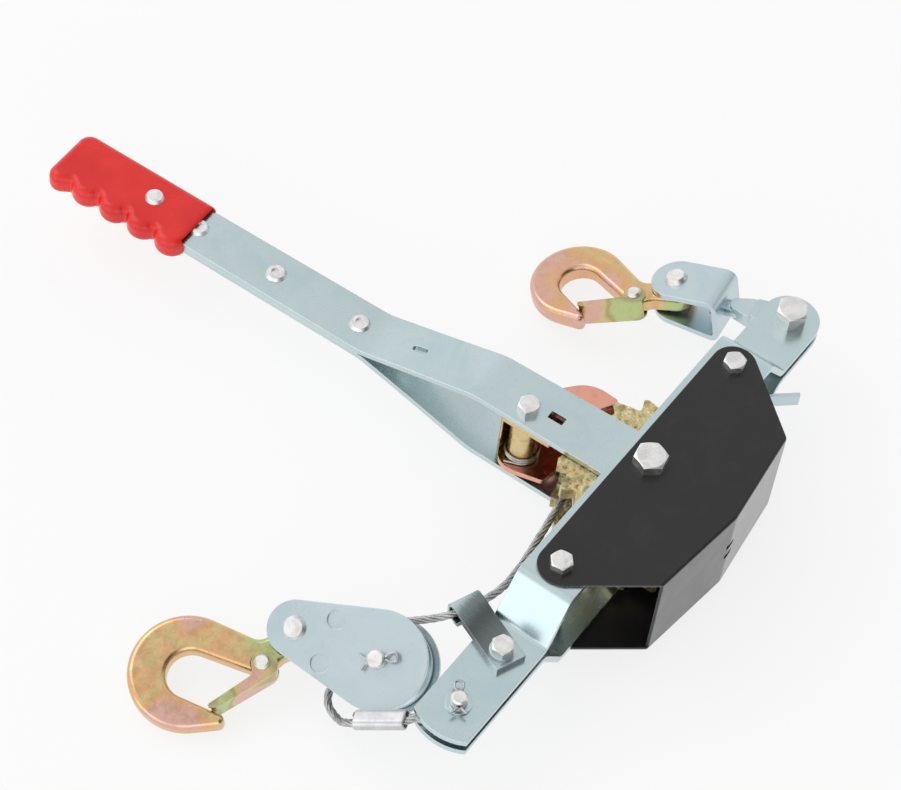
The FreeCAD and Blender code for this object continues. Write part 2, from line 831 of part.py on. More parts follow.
def guard():
    """Sheet cover: two flanges and a bent wall along corner, apex and corner."""
    body = new_body("guard")
    r = S.guard_hinge_r
    corner_x = S.guard_corner_x
    corner_y = -S.guard_corner_y
    apex_y = -S.guard_apex_y
    outline = [
        (-S.guard_bolt_x, 0, r, 1),
        (-corner_x, corner_y, 0, 1),
        (0, apex_y + S.guard_apex_r, S.guard_apex_r, 1),
        (corner_x, corner_y, 0, 1),
        (S.guard_bolt_x, 0, r, 1),
    ]
    flanges = new_sketch(body)
    draw(flanges, belt(outline))
    pad(body, flanges, f"2 * {GUARD_OUT}", both=True)

    sheet = S.guard_sheet
    along = V(corner_x, corner_y - apex_y, 0).normalize()
    inward = V(-along.y, along.x, 0)
    out = 3 * sheet
    right_in = V(corner_x, corner_y, 0) + inward * sheet
    right_out = V(corner_x, corner_y, 0) - inward * out
    wide = S.guard_bolt_x + 2 * r
    room = [
        (right_in.x, right_in.y, 0),
        (right_out.x, right_out.y, 0),
        (wide, right_out.y - out, 0),
        (wide, 2 * r, 0),
        (-wide, 2 * r, 0),
        (-wide, right_out.y - out, 0),
        (-right_out.x, right_out.y, 0),
        (-right_in.x, right_in.y, 0),
        (0, apex_y + sheet / along.x, S.guard_apex_r - sheet),
    ]
    inside = new_sketch(body)
    draw(inside, rounded(room))
    pocket(body, inside, f"2 * {FRAME_OUT}")

    rows = [
        (0, 0, "Dim.big_hole_r"),
        ("Dim.guard_bolt_x", 0, "Dim.small_hole_r"),
        ("-Dim.guard_bolt_x", 0, "Dim.small_hole_r"),
    ]
    holes(body, rows, "Dim.frame_gap * 2")

    slots = new_sketch(body, "XZ_Plane")
    for sign in (1, -1):
        low = sign * S.guard_slot_gap
        high = sign * (S.guard_slot_gap + S.guard_slot_tall)
        left = -S.guard_slot_x
        right = S.guard_slot_long - S.guard_slot_x
        if sign > 0:
            corners = [(left, low, 1), (right, low, 1), (right, high, 1), (left, high, 1)]
        else:
            corners = [(left, high, 1), (right, high, 1), (right, low, 1), (left, low, 1)]
        draw(slots, rounded(corners))
    pocket(body, slots, "Dim.guard_apex_y + Dim.guard_sheet", both=False, reverse=True)

    outer = value(GUARD_OUT)

    def bend(p, edge):
        return abs(abs(p.z) - outer) < 1e-3 and p.y < corner_y + 1 and abs(p.x) < corner_x - 1

    soften(body, "Dim.guard_sheet * 0.9", bend)
    node(body, "guard")


def guard_fasteners():
    bolts = []
    nuts = []
    tubes = []
    for sign, turned in (("", 12), ("-", 40)):
        x = f"{sign}Dim.guard_bolt_x"
        end = f"(-{GUARD_OUT} - Dim.small_nut - Dim.bolt_stick)"
        bolts.append(bolt(*SMALL_BOLT, x, 0, GUARD_OUT, end, turned))
        nuts.append(nut(*SMALL_NUT, x, 0, f"-{GUARD_OUT}", turned))
        tubes.append(washer("Dim.spacer_r", "Dim.small_hole_r", "Dim.frame_gap", x, 0, f"-{FRAME_IN}"))
    node(group(bolts), "guard_bolts")
    node(group(nuts), "guard_nuts")
    node(group(tubes), "spacer_tubes")


def axle():
    nut_top = f"(-{GUARD_OUT} - Dim.big_washer_thick)"
    end = f"({nut_top} - Dim.big_nut - Dim.axle_stick)"
    node(bolt("Dim.big_af", "Dim.big_head", "Dim.big_shank_r", 0, 0, GUARD_OUT, end, 10), "axle_bolt")
    node(nut(*BIG_NUT, 0, 0, nut_top, 25), "axle_nut")
    hole = "Dim.big_shank_r + 0.1"
    thin = "Dim.thin_washer_thick"
    rings = [
        washer("Dim.big_washer_r", hole, thin, 0, 0, f"{FRAME_IN} - {thin}"),
        washer("Dim.big_washer_r", hole, thin, 0, 0, f"-{FRAME_IN}"),
        washer("Dim.big_washer_r", hole, "Dim.big_washer_thick", 0, 0, nut_top),
    ]
    node(group(rings), "axle_washers")


def split_pin(name, place, across, spread):
    """Wire pin: an eye, two legs side by side and their bent ends. The pin lies along X."""
    r = S.split_wire_r
    gap = r + 0.06
    eye = S.split_eye_r
    far = eye * S.split_eye_reach
    start = -across / 2 - r
    stop = across / 2 + r
    points = [
        V(stop + spread, spread * 1.2 + gap, 0),
        V(stop, gap, 0),
        V(start, gap, 0),
        V(start - eye * 0.7, eye, 0),
        V(start - far, eye * 1.1, 0),
        V(start - far, -eye * 1.1, 0),
        V(start - eye * 0.7, -eye, 0),
        V(start, -gap, 0),
        V(stop, -gap, 0),
        V(stop + spread, -spread * 1.2 - gap, 0),
    ]
    edges, _ = route(points)
    node(feature(tube(edges, r, name), name), name, place)


def cross_hole(r, place):
    """Tool for a split pin's hole through a pin, along X of the place."""
    tool = cylinder("Dim.split_wire_r * 2 + Dim.split_hole_fit", r * 3)
    tool.Placement = place * rot(Y_AXIS, 90) * shift(0, 0, -r * 1.5)
    return tool


def anchor():
    """Pin through both plates that the rope's eye sits on."""
    x = "-Dim.anchor_x"
    pin_top = f"({END_OUT} + Dim.anchor_washer_thick + Dim.anchor_stick)"
    head = cylinder("Dim.anchor_head_r", "Dim.anchor_head", x, 0, f"-{END_OUT} - Dim.anchor_head")
    low = f"(-{END_OUT} - Dim.anchor_head / 2)"
    tip = "Dim.anchor_r * 0.2"
    shank = cylinder("Dim.anchor_r", f"{pin_top} - {low} - {tip}", x, 0, low)
    crown = cone("Dim.anchor_r", f"Dim.anchor_r - {tip}", tip, x, 0, f"{pin_top} - {tip}")
    cross_z = value(pin_top) - S.anchor_stick / 2
    across = shift(-S.anchor_x, 0, cross_z) * rot(Z_AXIS, S.anchor_split_turn)
    node(cut(fuse([head, shank, crown]), cross_hole(S.anchor_r, across)), "anchor_pin")
    hole = "Dim.anchor_r + Dim.pin_fit"
    node(washer("Dim.anchor_washer_r", hole, "Dim.anchor_washer_thick", x, 0, END_OUT), "anchor_pin_washer")
    split_pin("anchor_split_pin", BASE * across, 2 * S.anchor_r, 3.0)


def guide_strap():
    """Strip folded into a loop that keeps the rope beside the frame, drawn from the side."""
    low = value(END_OUT) + S.strap_sheet / 2
    high = low + S.strap_sheet + S.strap_leg_gap
    near = S.strap_loop_s - S.strap_loop_half_wide
    far = S.strap_loop_s + S.strap_loop_half_wide
    bottom = S.strap_loop_z - S.strap_loop_half_tall
    top = S.strap_loop_z + S.strap_loop_half_tall
    line = [
        (-S.strap_tail, low, 0),
        (near - 3.6, low, 1.5),
        (near, bottom, 2.2),
        (far, bottom, 3.0),
        (far, top, 3.0),
        (near, top, 2.5),
        (near - 8.0, high, 3.0),
        (-S.strap_tail, high, 0),
    ]
    body = new_body("cable_guide_strap")
    side = new_sketch(body, "XZ_Plane")
    draw(side, strip(line, S.strap_sheet))
    pad(body, side, "Dim.strap_wide", both=True)
    holes(body, [(0, 0, "Dim.small_hole_r")], "Dim.frame_gap * 2")
    place = BASE * shift(-S.strap_bolt_x, 0, 0) * rot(Z_AXIS, S.strap_turn)
    node(body, "cable_guide_strap", place)

    x = "-Dim.strap_bolt_x"
    legs = f"({END_OUT} + 2 * Dim.strap_sheet + Dim.strap_leg_gap)"
    seat = f"({legs} + Dim.small_washer_thick)"
    nut_top = f"(-{END_OUT} - Dim.small_washer_thick)"
    end = f"({nut_top} - Dim.small_nut - Dim.bolt_stick)"
    node(bolt(*SMALL_BOLT, x, 0, seat, end, 33), "guide_bolt")
    node(nut(*SMALL_NUT, x, 0, nut_top, 5), "guide_nut")
    rings = [
        washer("Dim.small_washer_r", "Dim.small_hole_r", "Dim.small_washer_thick", x, 0, legs),
        washer("Dim.small_washer_r", "Dim.small_hole_r", "Dim.small_washer_thick", x, 0, nut_top),
    ]
    node(group(rings), "guide_washers")


def swivel_fasteners():
    x = "Dim.swivel_bolt_x"
    nut_top = f"(-{END_OUT})"
    end = f"({nut_top} - Dim.big_nut - Dim.axle_stick)"
    head = ("Dim.big_af", "Dim.swivel_bolt_head", "Dim.big_shank_r")
    node(bolt(*head, x, 0, END_OUT, end, 20), "swivel_bolt")
    node(nut(*BIG_NUT, x, 0, nut_top, 45), "swivel_bolt_nut")


# Drum


def ratchet_wheel(name, low):
    """Cast wheel whose teeth are steep on their left side, seen from above."""
    body = new_body(name)
    disc = new_sketch(body, height=low)
    circle(disc, 0, 0, "Dim.wheel_tip_r")
    pad(body, disc, "Dim.wheel_thick")
    holes(body, [(0, 0, "Dim.bush_r")], f"4 * {WHEEL_OUT}")
    pitch = 360 / S.wheel_teeth
    depth = S.wheel_tip_r - S.wheel_root_r
    above = S.wheel_tip_r + 2
    # Gullet to the left of one tooth, as radius, share of the pitch and rounding
    rows = (
        (above, -0.10, 0),
        (S.wheel_tip_r - 0.3, 0, 1.2),
        (S.wheel_root_r, 0.13, 2.0),
        (S.wheel_tip_r - depth * 0.55, 0.5, 6.0),
        (S.wheel_tip_r - 0.3, 0.84, 1.5),
        (above, 0.94, 0),
    )
    corners = []
    for r, share, round_r in rows:
        turn = math.radians(S.wheel_turn + share * pitch)
        corners.append((r * math.cos(turn), r * math.sin(turn), round_r))
    gullet = new_sketch(body)
    draw(gullet, rounded(corners))
    first = pocket(body, gullet, f"4 * {WHEEL_OUT}")
    teeth = body.newObject("PartDesign::PolarPattern", name + "_teeth")
    teeth.Originals = [first]
    teeth.Axis = (gullet, ["N_Axis"])
    teeth.Angle = 360
    bind(teeth, "Occurrences", "Dim.wheel_teeth")
    body.Tip = teeth
    DOC.recompute()
    node(body, name)


def drum():
    inner = "Dim.wheel_inner_z"
    core = washer("Dim.core_r", "Dim.bush_r", f"2 * {inner}", 0, 0, f"-{inner}")
    node(core, "drum_core")
    half = f"({WHEEL_OUT} + Dim.bush_end)"
    bore = "Dim.big_shank_r + Dim.axle_fit"
    node(washer("Dim.bush_r", bore, f"2 * {half}", 0, 0, f"-{half}"), "drum_bush")
    ratchet_wheel("ratchet_wheel_upper", inner)
    ratchet_wheel("ratchet_wheel_lower", f"-{WHEEL_OUT}")
    span = f"({inner} - Dim.layers_end)"
    layers = washer("Dim.layers_r", "Dim.core_r", f"2 * {span}", 0, 0, f"-{span}")
    node(layers, "cable_inner_layers")


def winding():
    """Outer layer of turns, whose last one leaves straight towards the guide strap."""
    r = S.layers_r + 0.15 + S.rope_r
    low = -S.wheel_inner_z + S.layers_end + S.rope_r
    edges = coil(r, S.rope_pitch, S.rope_turns, S.rope_leave, low, 2 * S.rope_r, S.rope_tail)
    least_gap(edges, S.rope_r, "cable_winding")
    node(feature(tube(edges, S.rope_r, "cable_winding"), "cable_winding"), "cable_winding", BASE)
    tail = edges[-1]
    return tail.valueAt(tail.LastParameter), tail.tangentAt(tail.LastParameter)


def cable_run(tail_end, tail_dir):
    """Rope from the drum through the strap, round the sheave and back to the anchor pin."""
    to_winch = BASE.inverse() * BLOCK

    def in_block(x, y, n):
        return to_winch.multVec(V(x, y, n))

    # The rope turns round the sheave between two headings that touch its groove
    strap_out = V(39.5, -27.5, 0)
    lane = S.rope_lane
    reach = strap_out.Length
    enter_turn = math.atan2(strap_out.y, strap_out.x) + math.acos(S.groove_r / reach)
    leave_turn = math.radians(86)
    half = (leave_turn - enter_turn) / 2
    corner_r = S.groove_r / math.cos(half)
    corner = V(corner_r * math.cos(enter_turn + half), corner_r * math.sin(enter_turn + half), 0)
    leaving = V(-math.sin(leave_turn), math.cos(leave_turn), 0)
    off = corner + leaving * 36

    # The eye round the anchor pin lies between the plates: three corners of a polygon that
    # touches the eye's circle, and one on each side that leads to the ferrule
    pin = V(-S.anchor_x, 0, 0)
    eye = V(math.cos(math.radians(S.eye_turn)), math.sin(math.radians(S.eye_turn)), 0)
    side = V(-eye.y, eye.x, 0)
    eye_r = S.anchor_r + S.rope_r + S.pin_fit
    eye_step = math.radians(72)
    eye_reach = eye_r * 1.004 / math.cos(eye_step / 2)
    back = -eye * (eye_reach * math.cos(eye_step))
    wing = side * (eye_reach * math.sin(eye_step))
    mouth = pin + eye * 15.5
    mouth_wing = side * (eye_r * 0.72)
    strand = S.rope_r + S.strand_gap / 2
    ferrule_in = pin + V(-24.2, 19.2, 0.2)
    ferrule_dir = V(-0.33, 0.83, -0.45).normalize()
    across = V(ferrule_dir.y, -ferrule_dir.x, 0).normalize()
    ferrule_out = ferrule_in + ferrule_dir * S.ferrule_long

    points = [
        tail_end + tail_dir * S.rope_touch,
        V(-S.wheel_tip_r - 11, lane + 4.5, 5.5),
        V(-S.frame_flat_half + 13, lane - 0.2, 7.0),
        V(-S.frame_flat_half - 9, lane, 8.0),
        in_block(strap_out.x, strap_out.y, 0),
        in_block(corner.x, corner.y, 0),
        in_block(off.x, off.y, 1),
        in_block(-34.5, 24.5, 3),
        in_block(-41.5, 11, 9),
        ferrule_out - across * strand + ferrule_dir * 5,
        ferrule_in - across * strand - ferrule_dir * 2,
        mouth - mouth_wing,
        pin + back - wing,
        pin - eye * eye_reach,
        pin + back + wing,
        mouth + mouth_wing,
        ferrule_in + across * strand - ferrule_dir * 2,
        ferrule_out + across * strand + ferrule_dir * 1.5,
    ]
    edges, radii = route(points, {5: S.groove_r, 12: eye_r, 13: eye_r, 14: eye_r})
    print("cable_run: radii " + " ".join(f"{r:.1f}" for r in radii))
    node(feature(tube(edges, S.rope_r, "cable_run"), "cable_run"), "cable_run", BASE)

    # Ferrule: an oval sleeve pressed round both strands
    frame = FreeCAD.Placement(ferrule_in, FreeCAD.Rotation(across, V(0, 0, 0), ferrule_dir, "ZXY"))
    wide = S.ferrule_wide / 2 - S.ferrule_tall / 2
    body = new_body("cable_ferrule")
    sketch = new_sketch(body)
    draw(sketch, belt([(-wide, 0, S.ferrule_tall / 2, 1), (wide, 0, S.ferrule_tall / 2, 1)]))
    pad(body, sketch, "Dim.ferrule_long")
    middle = S.ferrule_long / 2
    soften(body, "Dim.ferrule_tall * 0.12", lambda p, edge: abs(abs(p.z - middle) - middle) < 0.01)
    bore = "Dim.rope_r + 0.02"
    offset = "(Dim.rope_r + Dim.strand_gap / 2)"
    holes(body, [(offset, 0, bore), (f"-{offset}", 0, bore)], "Dim.ferrule_long * 3")
    node(body, "cable_ferrule", BASE * frame)


# Lever


def lever_outline():
    return [
        (0, 0, S.lever_end_r, 1),
        (S.lever_half_mid, S.lever_mid_y, 0, 1),
        (S.lever_half_far, S.lever_far_y, 0, 1),
        (S.lever_half_far - 6, S.lever_long - 6, 6, 1),
        (-S.lever_half_far + 6, S.lever_long - 6, 6, 1),
        (-S.lever_half_far, S.lever_far_y, 0, 1),
        (-S.lever_half_mid, S.lever_mid_y, 0, 1),
    ]


def handle_plate(name, sign):
    """Lever strip: beside the wheel at the axle, bent in to meet its twin at the grip."""
    body = new_body(name)
    wheel_z = sign * (value(LEVER_IN) + S.plate_thick / 2)
    grip_z = sign * S.plate_thick / 2
    line = [
        (-S.lever_end_r - 1, wheel_z, 0),
        (S.lever_bend_in, wheel_z, S.lever_bend_r),
        (S.lever_bend_out, grip_z, S.lever_bend_r),
        (S.lever_long + 1, grip_z, 0),
    ]
    side = new_sketch(body, "YZ_Plane")
    draw(side, strip(line, S.plate_thick))
    pad(body, side, "Dim.lever_end_r * 2 + 2", both=True)
    waste = new_sketch(body)
    far = S.lever_long + S.lever_end_r
    wide = 2 * S.lever_end_r
    draw(waste, oblong(-wide, -wide, wide, far, 0))
    draw(waste, belt(lever_outline()))
    pocket(body, waste, "Dim.frame_gap * 2")
    rows = [
        (0, 0, "Dim.big_shank_r + Dim.axle_fit"),
        ("Dim.pawl_x", "Dim.pawl_y", "Dim.small_hole_r"),
        (0, "Dim.rivet_one_y", "Dim.rivet_shank_r"),
        (0, "Dim.rivet_two_y", "Dim.rivet_shank_r"),
        (0, "Dim.rivet_three_y", "Dim.rivet_shank_r"),
        (0, "Dim.grip_rivet_y", "Dim.rivet_shank_r"),
    ]
    holes(body, rows, "Dim.frame_gap * 2")
    slots = new_sketch(body)
    draw(slots, belt([(0, S.slot_y - S.slot_half, S.slot_r, 1), (0, S.slot_y + S.slot_half, S.slot_r, 1)]))
    wide = S.window_wide / 2
    tall = S.window_long / 2
    x = S.window_x
    y = S.window_y
    draw(slots, oblong(x - wide, y - tall, x + wide, y + tall, 0.6))
    pocket(body, slots, "Dim.frame_gap * 2")
    node(body, name, LEVER)


def rivet(half, y, head_r, dished=True):
    """Rivet through the lever with a head on each side."""
    shank = cylinder("Dim.rivet_shank_r", f"2 * {half}", 0, y, f"-{half}")
    top = cone(head_r, f"{head_r} * 0.8", "Dim.rivet_head", 0, y, half)
    low = cone(f"{head_r} * 0.8", head_r, "Dim.rivet_head", 0, y, f"-{half} - Dim.rivet_head")
    whole = fuse([shank, top, low])
    if not dished:
        return whole
    dish = ("Dim.rivet_dish_r", "Dim.rivet_dish + 1", 0, y)
    high = cylinder(*dish, f"{half} + Dim.rivet_head - Dim.rivet_dish")
    deep = cylinder(*dish, f"-{half} - Dim.rivet_head - 1")
    return cut(whole, fuse([high, deep]))


def lever_rivets():
    rows = []
    for which in ("one", "two", "three"):
        rows.append(rivet("Dim.plate_thick", f"Dim.rivet_{which}_y", "Dim.rivet_head_r"))
    node(group(rows), "handle_rivets", LEVER)
    whole = rivet("Dim.grip_thick / 2", "Dim.grip_rivet_y", "Dim.grip_rivet_r", dished=False)
    node(whole, "grip_rivet", LEVER)


def grip():
    """Moulded sleeve with a row of finger bumps on the rope side and a mouth for the plates."""
    start = S.grip_start
    end = S.grip_end
    corner = S.grip_corner
    small = corner - 1
    bump_x = S.grip_bump_r - S.grip_bump_out
    rows = [(bump_x, S.grip_first + k * S.grip_pitch, S.grip_bump_r) for k in range(4)]
    rows.append((small - S.grip_bump_out, end - small, small))
    outline = [
        (S.grip_side - 3, start + 3, 3, 1),
        (S.grip_side - corner, end - corner, corner, 1),
    ]
    for k in reversed(range(len(rows))):
        x, y, r = rows[k]
        outline.append((x, y, r, 1))
        if k:
            below = rows[k - 1]
            half = (y - below[1]) / 2
            reach = S.grip_bump_r + S.grip_valley_r + 0.02
            valley_x = below[0] - math.sqrt(reach * reach - half * half)
            outline.append((valley_x, y - half, S.grip_valley_r, -1))
    body = new_body("grip")
    sketch = new_sketch(body)
    draw(sketch, belt(outline))
    pad(body, sketch, "Dim.grip_thick", both=True)
    half = S.grip_thick / 2
    soften(body, "Dim.grip_round", lambda p, edge: abs(abs(p.z) - half) < 1e-3)
    wide = S.lever_half_far + S.grip_fit
    lips = new_sketch(body)
    stop = start + S.grip_mouth_deep
    draw(lips, rounded([(-wide, start - 20, 0), (wide, start - 20, 0), (wide, stop, 2), (-wide, stop, 2)]))
    pocket(body, lips, "Dim.grip_mouth_tall")
    mouth = new_sketch(body)
    deep = S.lever_long + S.grip_fit
    near = stop - 1
    draw(mouth, rounded([(-wide, near, 0), (wide, near, 0), (wide, deep, 6), (-wide, deep, 6)]))
    pocket(body, mouth, "2 * (Dim.plate_thick + Dim.grip_fit)")
    holes(body, [(0, "Dim.grip_rivet_y", "Dim.rivet_shank_r")], "Dim.grip_thick * 3")
    node(body, "grip", LEVER)


def pawl_fasteners():
    end = f"(-{LEVER_OUT} - Dim.small_nut - Dim.bolt_stick)"
    at = ("Dim.pawl_x", "Dim.pawl_y")
    node(bolt(*SMALL_BOLT, *at, LEVER_OUT, end, 15), "pawl_bolt", LEVER)
    node(nut(*SMALL_NUT, *at, f"-{LEVER_OUT}", 8), "pawl_nut", LEVER)
    tube_ring = washer("Dim.pawl_tube_r", "Dim.small_hole_r", f"2 * {LEVER_IN}", *at, f"-{LEVER_IN}")
    node(tube_ring, "pawl_spacer_tube", LEVER)


def driving_pawl():
    """Bent channel: two cheeks in line with the wheels and a web over the arch and head."""
    x = S.pawl_x
    y = S.pawl_y
    nose_far = S.wheel_tip_r + S.pawl_tip_gap + S.pawl_nose_r
    nose_turn = math.radians(S.pawl_nose_turn)
    nose = V(nose_far * math.cos(nose_turn), nose_far * math.sin(nose_turn), 0)
    # The hollow beside the wheel opens slowly from the nose to the tail
    back = V(nose).normalize() * (S.pawl_tip_gap - S.pawl_wheel_gap - 0.1)
    outline = [
        (S.pawl_tail_x, S.pawl_tail_y, S.pawl_tail_r, 1),
        (back.x, back.y, S.wheel_tip_r + S.pawl_wheel_gap, -1),
        (nose.x, nose.y, S.pawl_nose_r, 1),
        (S.pawl_arch_x, S.pawl_arch_y, S.pawl_arch_r, 1),
        (x, y, S.pawl_head_r, 1),
    ]
    body = new_body("driving_pawl")
    cheeks = new_sketch(body)
    draw(cheeks, belt(outline))
    pad(body, cheeks, "2 * Dim.pawl_half", both=True)
    sheet = S.pawl_sheet
    room = [
        (x - 2 * S.pawl_head_r, S.wheel_root_r * 0.7, 0, 1),
        (nose.x * 0.93, nose.y * 0.93, 0, 1),
        (S.pawl_arch_x, S.pawl_arch_y, S.pawl_arch_r - sheet, 1),
        (x, y, S.pawl_head_r - sheet, 1),
        (x - 2 * S.pawl_head_r, y + S.pawl_head_r * 0.6, 0, 1),
    ]
    inside = new_sketch(body)
    draw(inside, belt(room))
    pocket(body, inside, "2 * (Dim.pawl_half - Dim.pawl_sheet)")
    # The upper cheek and the web's upper half end at a straight edge short of the lever's
    trim = new_sketch(body)
    draw(trim, oblong(x - 3 * S.pawl_head_r, S.wheel_root_r, S.pawl_upper_edge, y + 2 * S.pawl_head_r, 0))
    pocket(body, trim, "2 * Dim.pawl_half", both=False, reverse=True)
    holes(body, [("Dim.pawl_x", "Dim.pawl_y", "Dim.pawl_tube_r + Dim.pivot_fit")], "Dim.frame_gap * 2")
    node(body, "driving_pawl", LEVER)


def pawl_spring(name, place, hub_r, start_turn):
    """Torsion spring round a pawl's pivot, inside the pawl's channel."""
    r = hub_r + S.pawl_spring_gap + S.pawl_spring_r
    low = -(S.pawl_half - S.pawl_sheet) + S.pawl_spring_r + S.pawl_spring_lift
    leg = S.pawl_spring_leg
    edges = coil(r, S.pawl_spring_pitch, S.pawl_spring_turns, start_turn, low, leg, leg)
    least_gap(edges, S.pawl_spring_r, name)
    node(feature(tube(edges, S.pawl_spring_r, name), name), name, place)


def holding_pawl():
    """Channel on the frame's spacer tube, its nose at the wheels and a strip to release it."""
    px = S.guard_bolt_x
    nose_far = S.wheel_tip_r + S.pawl_tip_gap + S.hold_nose_r
    nose_turn = math.radians(S.hold_nose_turn)
    nose = V(nose_far * math.cos(nose_turn), nose_far * math.sin(nose_turn), 0)
    body = new_body("holding_pawl")
    cheeks = new_sketch(body)
    path = belt([(px, 0, S.hold_head_r, 1), (nose.x, nose.y, S.hold_nose_r, 1)])
    draw(cheeks, path)
    pad(body, cheeks, "2 * Dim.pawl_half", both=True)
    back = path[-1]
    away = (back[2] - back[1]).normalize()
    inward = V(-away.y, away.x, 0)
    web_start = back[1] + inward * S.pawl_sheet - away * (2 * S.hold_nose_r)
    web_stop = back[2] + inward * S.pawl_sheet - away * (S.hold_head_r * 0.8)
    web_out = web_stop - inward * (3 * S.pawl_sheet)
    room = [
        (web_start.x, web_start.y, 0),
        (web_stop.x, web_stop.y, 0),
        (web_out.x, web_out.y, 0),
        (px + 3 * S.hold_head_r, web_out.y, 0),
        (px + 3 * S.hold_head_r, 3 * S.hold_head_r, 0),
        (web_start.x - S.hold_head_r, 3 * S.hold_head_r, 0),
        (web_start.x - S.hold_head_r, web_start.y, 0),
    ]
    inside = new_sketch(body)
    draw(inside, rounded(room))
    pocket(body, inside, "2 * (Dim.pawl_half - Dim.pawl_sheet)")
    holes(body, [("Dim.guard_bolt_x", 0, "Dim.spacer_r + Dim.pivot_fit")], "Dim.frame_gap * 2")
    root = web_stop - inward * (S.pawl_sheet / 2) - away * 6
    lane = [
        (root.x, root.y, 0),
        (px + 5, -S.hold_head_r - 3.5, 3),
        (px + 16, -24, 3),
        (px + 28, -37, 0),
    ]
    tab = new_sketch(body, height="Dim.hold_tab_low")
    draw(tab, strip(lane, S.hold_tab_sheet))
    pad(body, tab, "Dim.hold_tab_tall")
    node(body, "holding_pawl", BASE)


# Pulley block


def cheek(name, low, dish_side):
    body = new_body(name)
    sketch = new_sketch(body, height=low)
    draw(sketch, belt([(0, 0, S.cheek_r, 1), (0, S.block_pin_y, S.cheek_end_r, 1)]))
    pad(body, sketch, "Dim.cheek_thick")
    rows = [(0, 0, "Dim.sheave_axle_r + 0.05"), (0, "Dim.block_pin_y", "Dim.hook_pin_r + 0.02")]
    holes(body, rows, "Dim.block_thick * 2")
    outer = new_sketch(body, height=f"{low} + Dim.cheek_thick" if dish_side > 0 else low)
    for sign in ("", "-"):
        circle(outer, f"{sign}Dim.block_dimple_x", "Dim.block_dimple_y", "Dim.block_dimple_r")
    pocket(body, outer, "Dim.block_dimple_deep", both=False, reverse=dish_side < 0)
    inner = new_sketch(body, height=low if dish_side > 0 else f"{low} + Dim.cheek_thick")
    for sign in ("", "-"):
        circle(inner, f"{sign}Dim.block_dimple_x", "Dim.block_dimple_y", "Dim.block_dimple_r - 0.8")
    boss = pad(body, inner, "Dim.block_dimple_deep")
    boss.Reversed = dish_side > 0
    node(body, name, BLOCK)


def block():
    half = "Dim.block_thick / 2"
    cheek("block_cheek_upper", f"({half} - Dim.cheek_thick)", 1)
    cheek("block_cheek_lower", f"(-{half})", -1)

    head_z = f"(-{half} - Dim.sheave_axle_head)"
    top = f"({half} + Dim.sheave_axle_stick)"
    tip = "Dim.sheave_axle_r * 0.18"
    head = cylinder("Dim.sheave_axle_head_r", "Dim.sheave_axle_head", 0, 0, head_z)
    shank = cylinder("Dim.sheave_axle_r", f"{top} - {head_z} - {tip}", 0, 0, head_z)
    crown = cone("Dim.sheave_axle_r", f"Dim.sheave_axle_r - {tip}", tip, 0, 0, f"{top} - {tip}")
    cross_z = value(top) - S.sheave_axle_stick / 2
    across = shift(0, 0, cross_z) * rot(Z_AXIS, S.sheave_split_turn)
    node(cut(fuse([head, shank, crown]), cross_hole(S.sheave_axle_r, across)), "sheave_axle", BLOCK)
    split_pin("sheave_split_pin", BLOCK * across, 2 * S.sheave_axle_r, 3.4)

    rod = cylinder("Dim.hook_pin_r", "Dim.block_thick", 0, "Dim.block_pin_y", f"-{half}")
    y = "Dim.block_pin_y"
    upper = cone("Dim.hook_pin_head_r", "Dim.hook_pin_head_r * 0.75", "Dim.hook_pin_head", 0, y, half)
    low_z = f"-{half} - Dim.hook_pin_head"
    lower = cone("Dim.hook_pin_head_r * 0.75", "Dim.hook_pin_head_r", "Dim.hook_pin_head", 0, y, low_z)
    node(fuse([rod, upper, lower]), "block_hook_pin", BLOCK)

    sheave()


def sheave():
    """Grooved wheel turned about the block's axle, drawn as half a section."""
    body = new_body("sheave")
    section = new_sketch(body, "XZ_Plane")
    half = S.sheave_half
    groove = S.rope_r + 0.45
    flare = 6.5
    corners = [
        (S.sheave_bush_r, -half, 0),
        (S.sheave_r - 0.8, -half, 0.8),
        (S.sheave_r - 0.8, -flare, 0.8),
        (S.groove_r - groove, -1.6, 2.4),
        (S.groove_r - groove, 1.6, 2.4),
        (S.sheave_r - 0.8, flare, 0.8),
        (S.sheave_r - 0.8, half, 0.8),
        (S.sheave_bush_r, half, 0),
    ]
    draw(section, rounded(corners))
    turned = body.newObject("PartDesign::Revolution", "sheave_turned")
    turned.Profile = section
    turned.ReferenceAxis = (section, ["V_Axis"])
    turned.Angle = 360
    DOC.recompute()
    node(body, "sheave", BLOCK)
    tall = "(Dim.block_thick / 2 - Dim.cheek_thick - Dim.side_gap)"
    bore = "Dim.sheave_axle_r + Dim.axle_fit"
    node(washer("Dim.sheave_bush_r", bore, f"2 * {tall}", 0, 0, f"-{tall}"), "sheave_bush", BLOCK)


# Hooks with their safety latches


def scaled(circles, size):
    """The same circles, drawn smaller or larger about the origin."""
    return [(x * size, y * size, r * size, side) for x, y, r, side in circles]


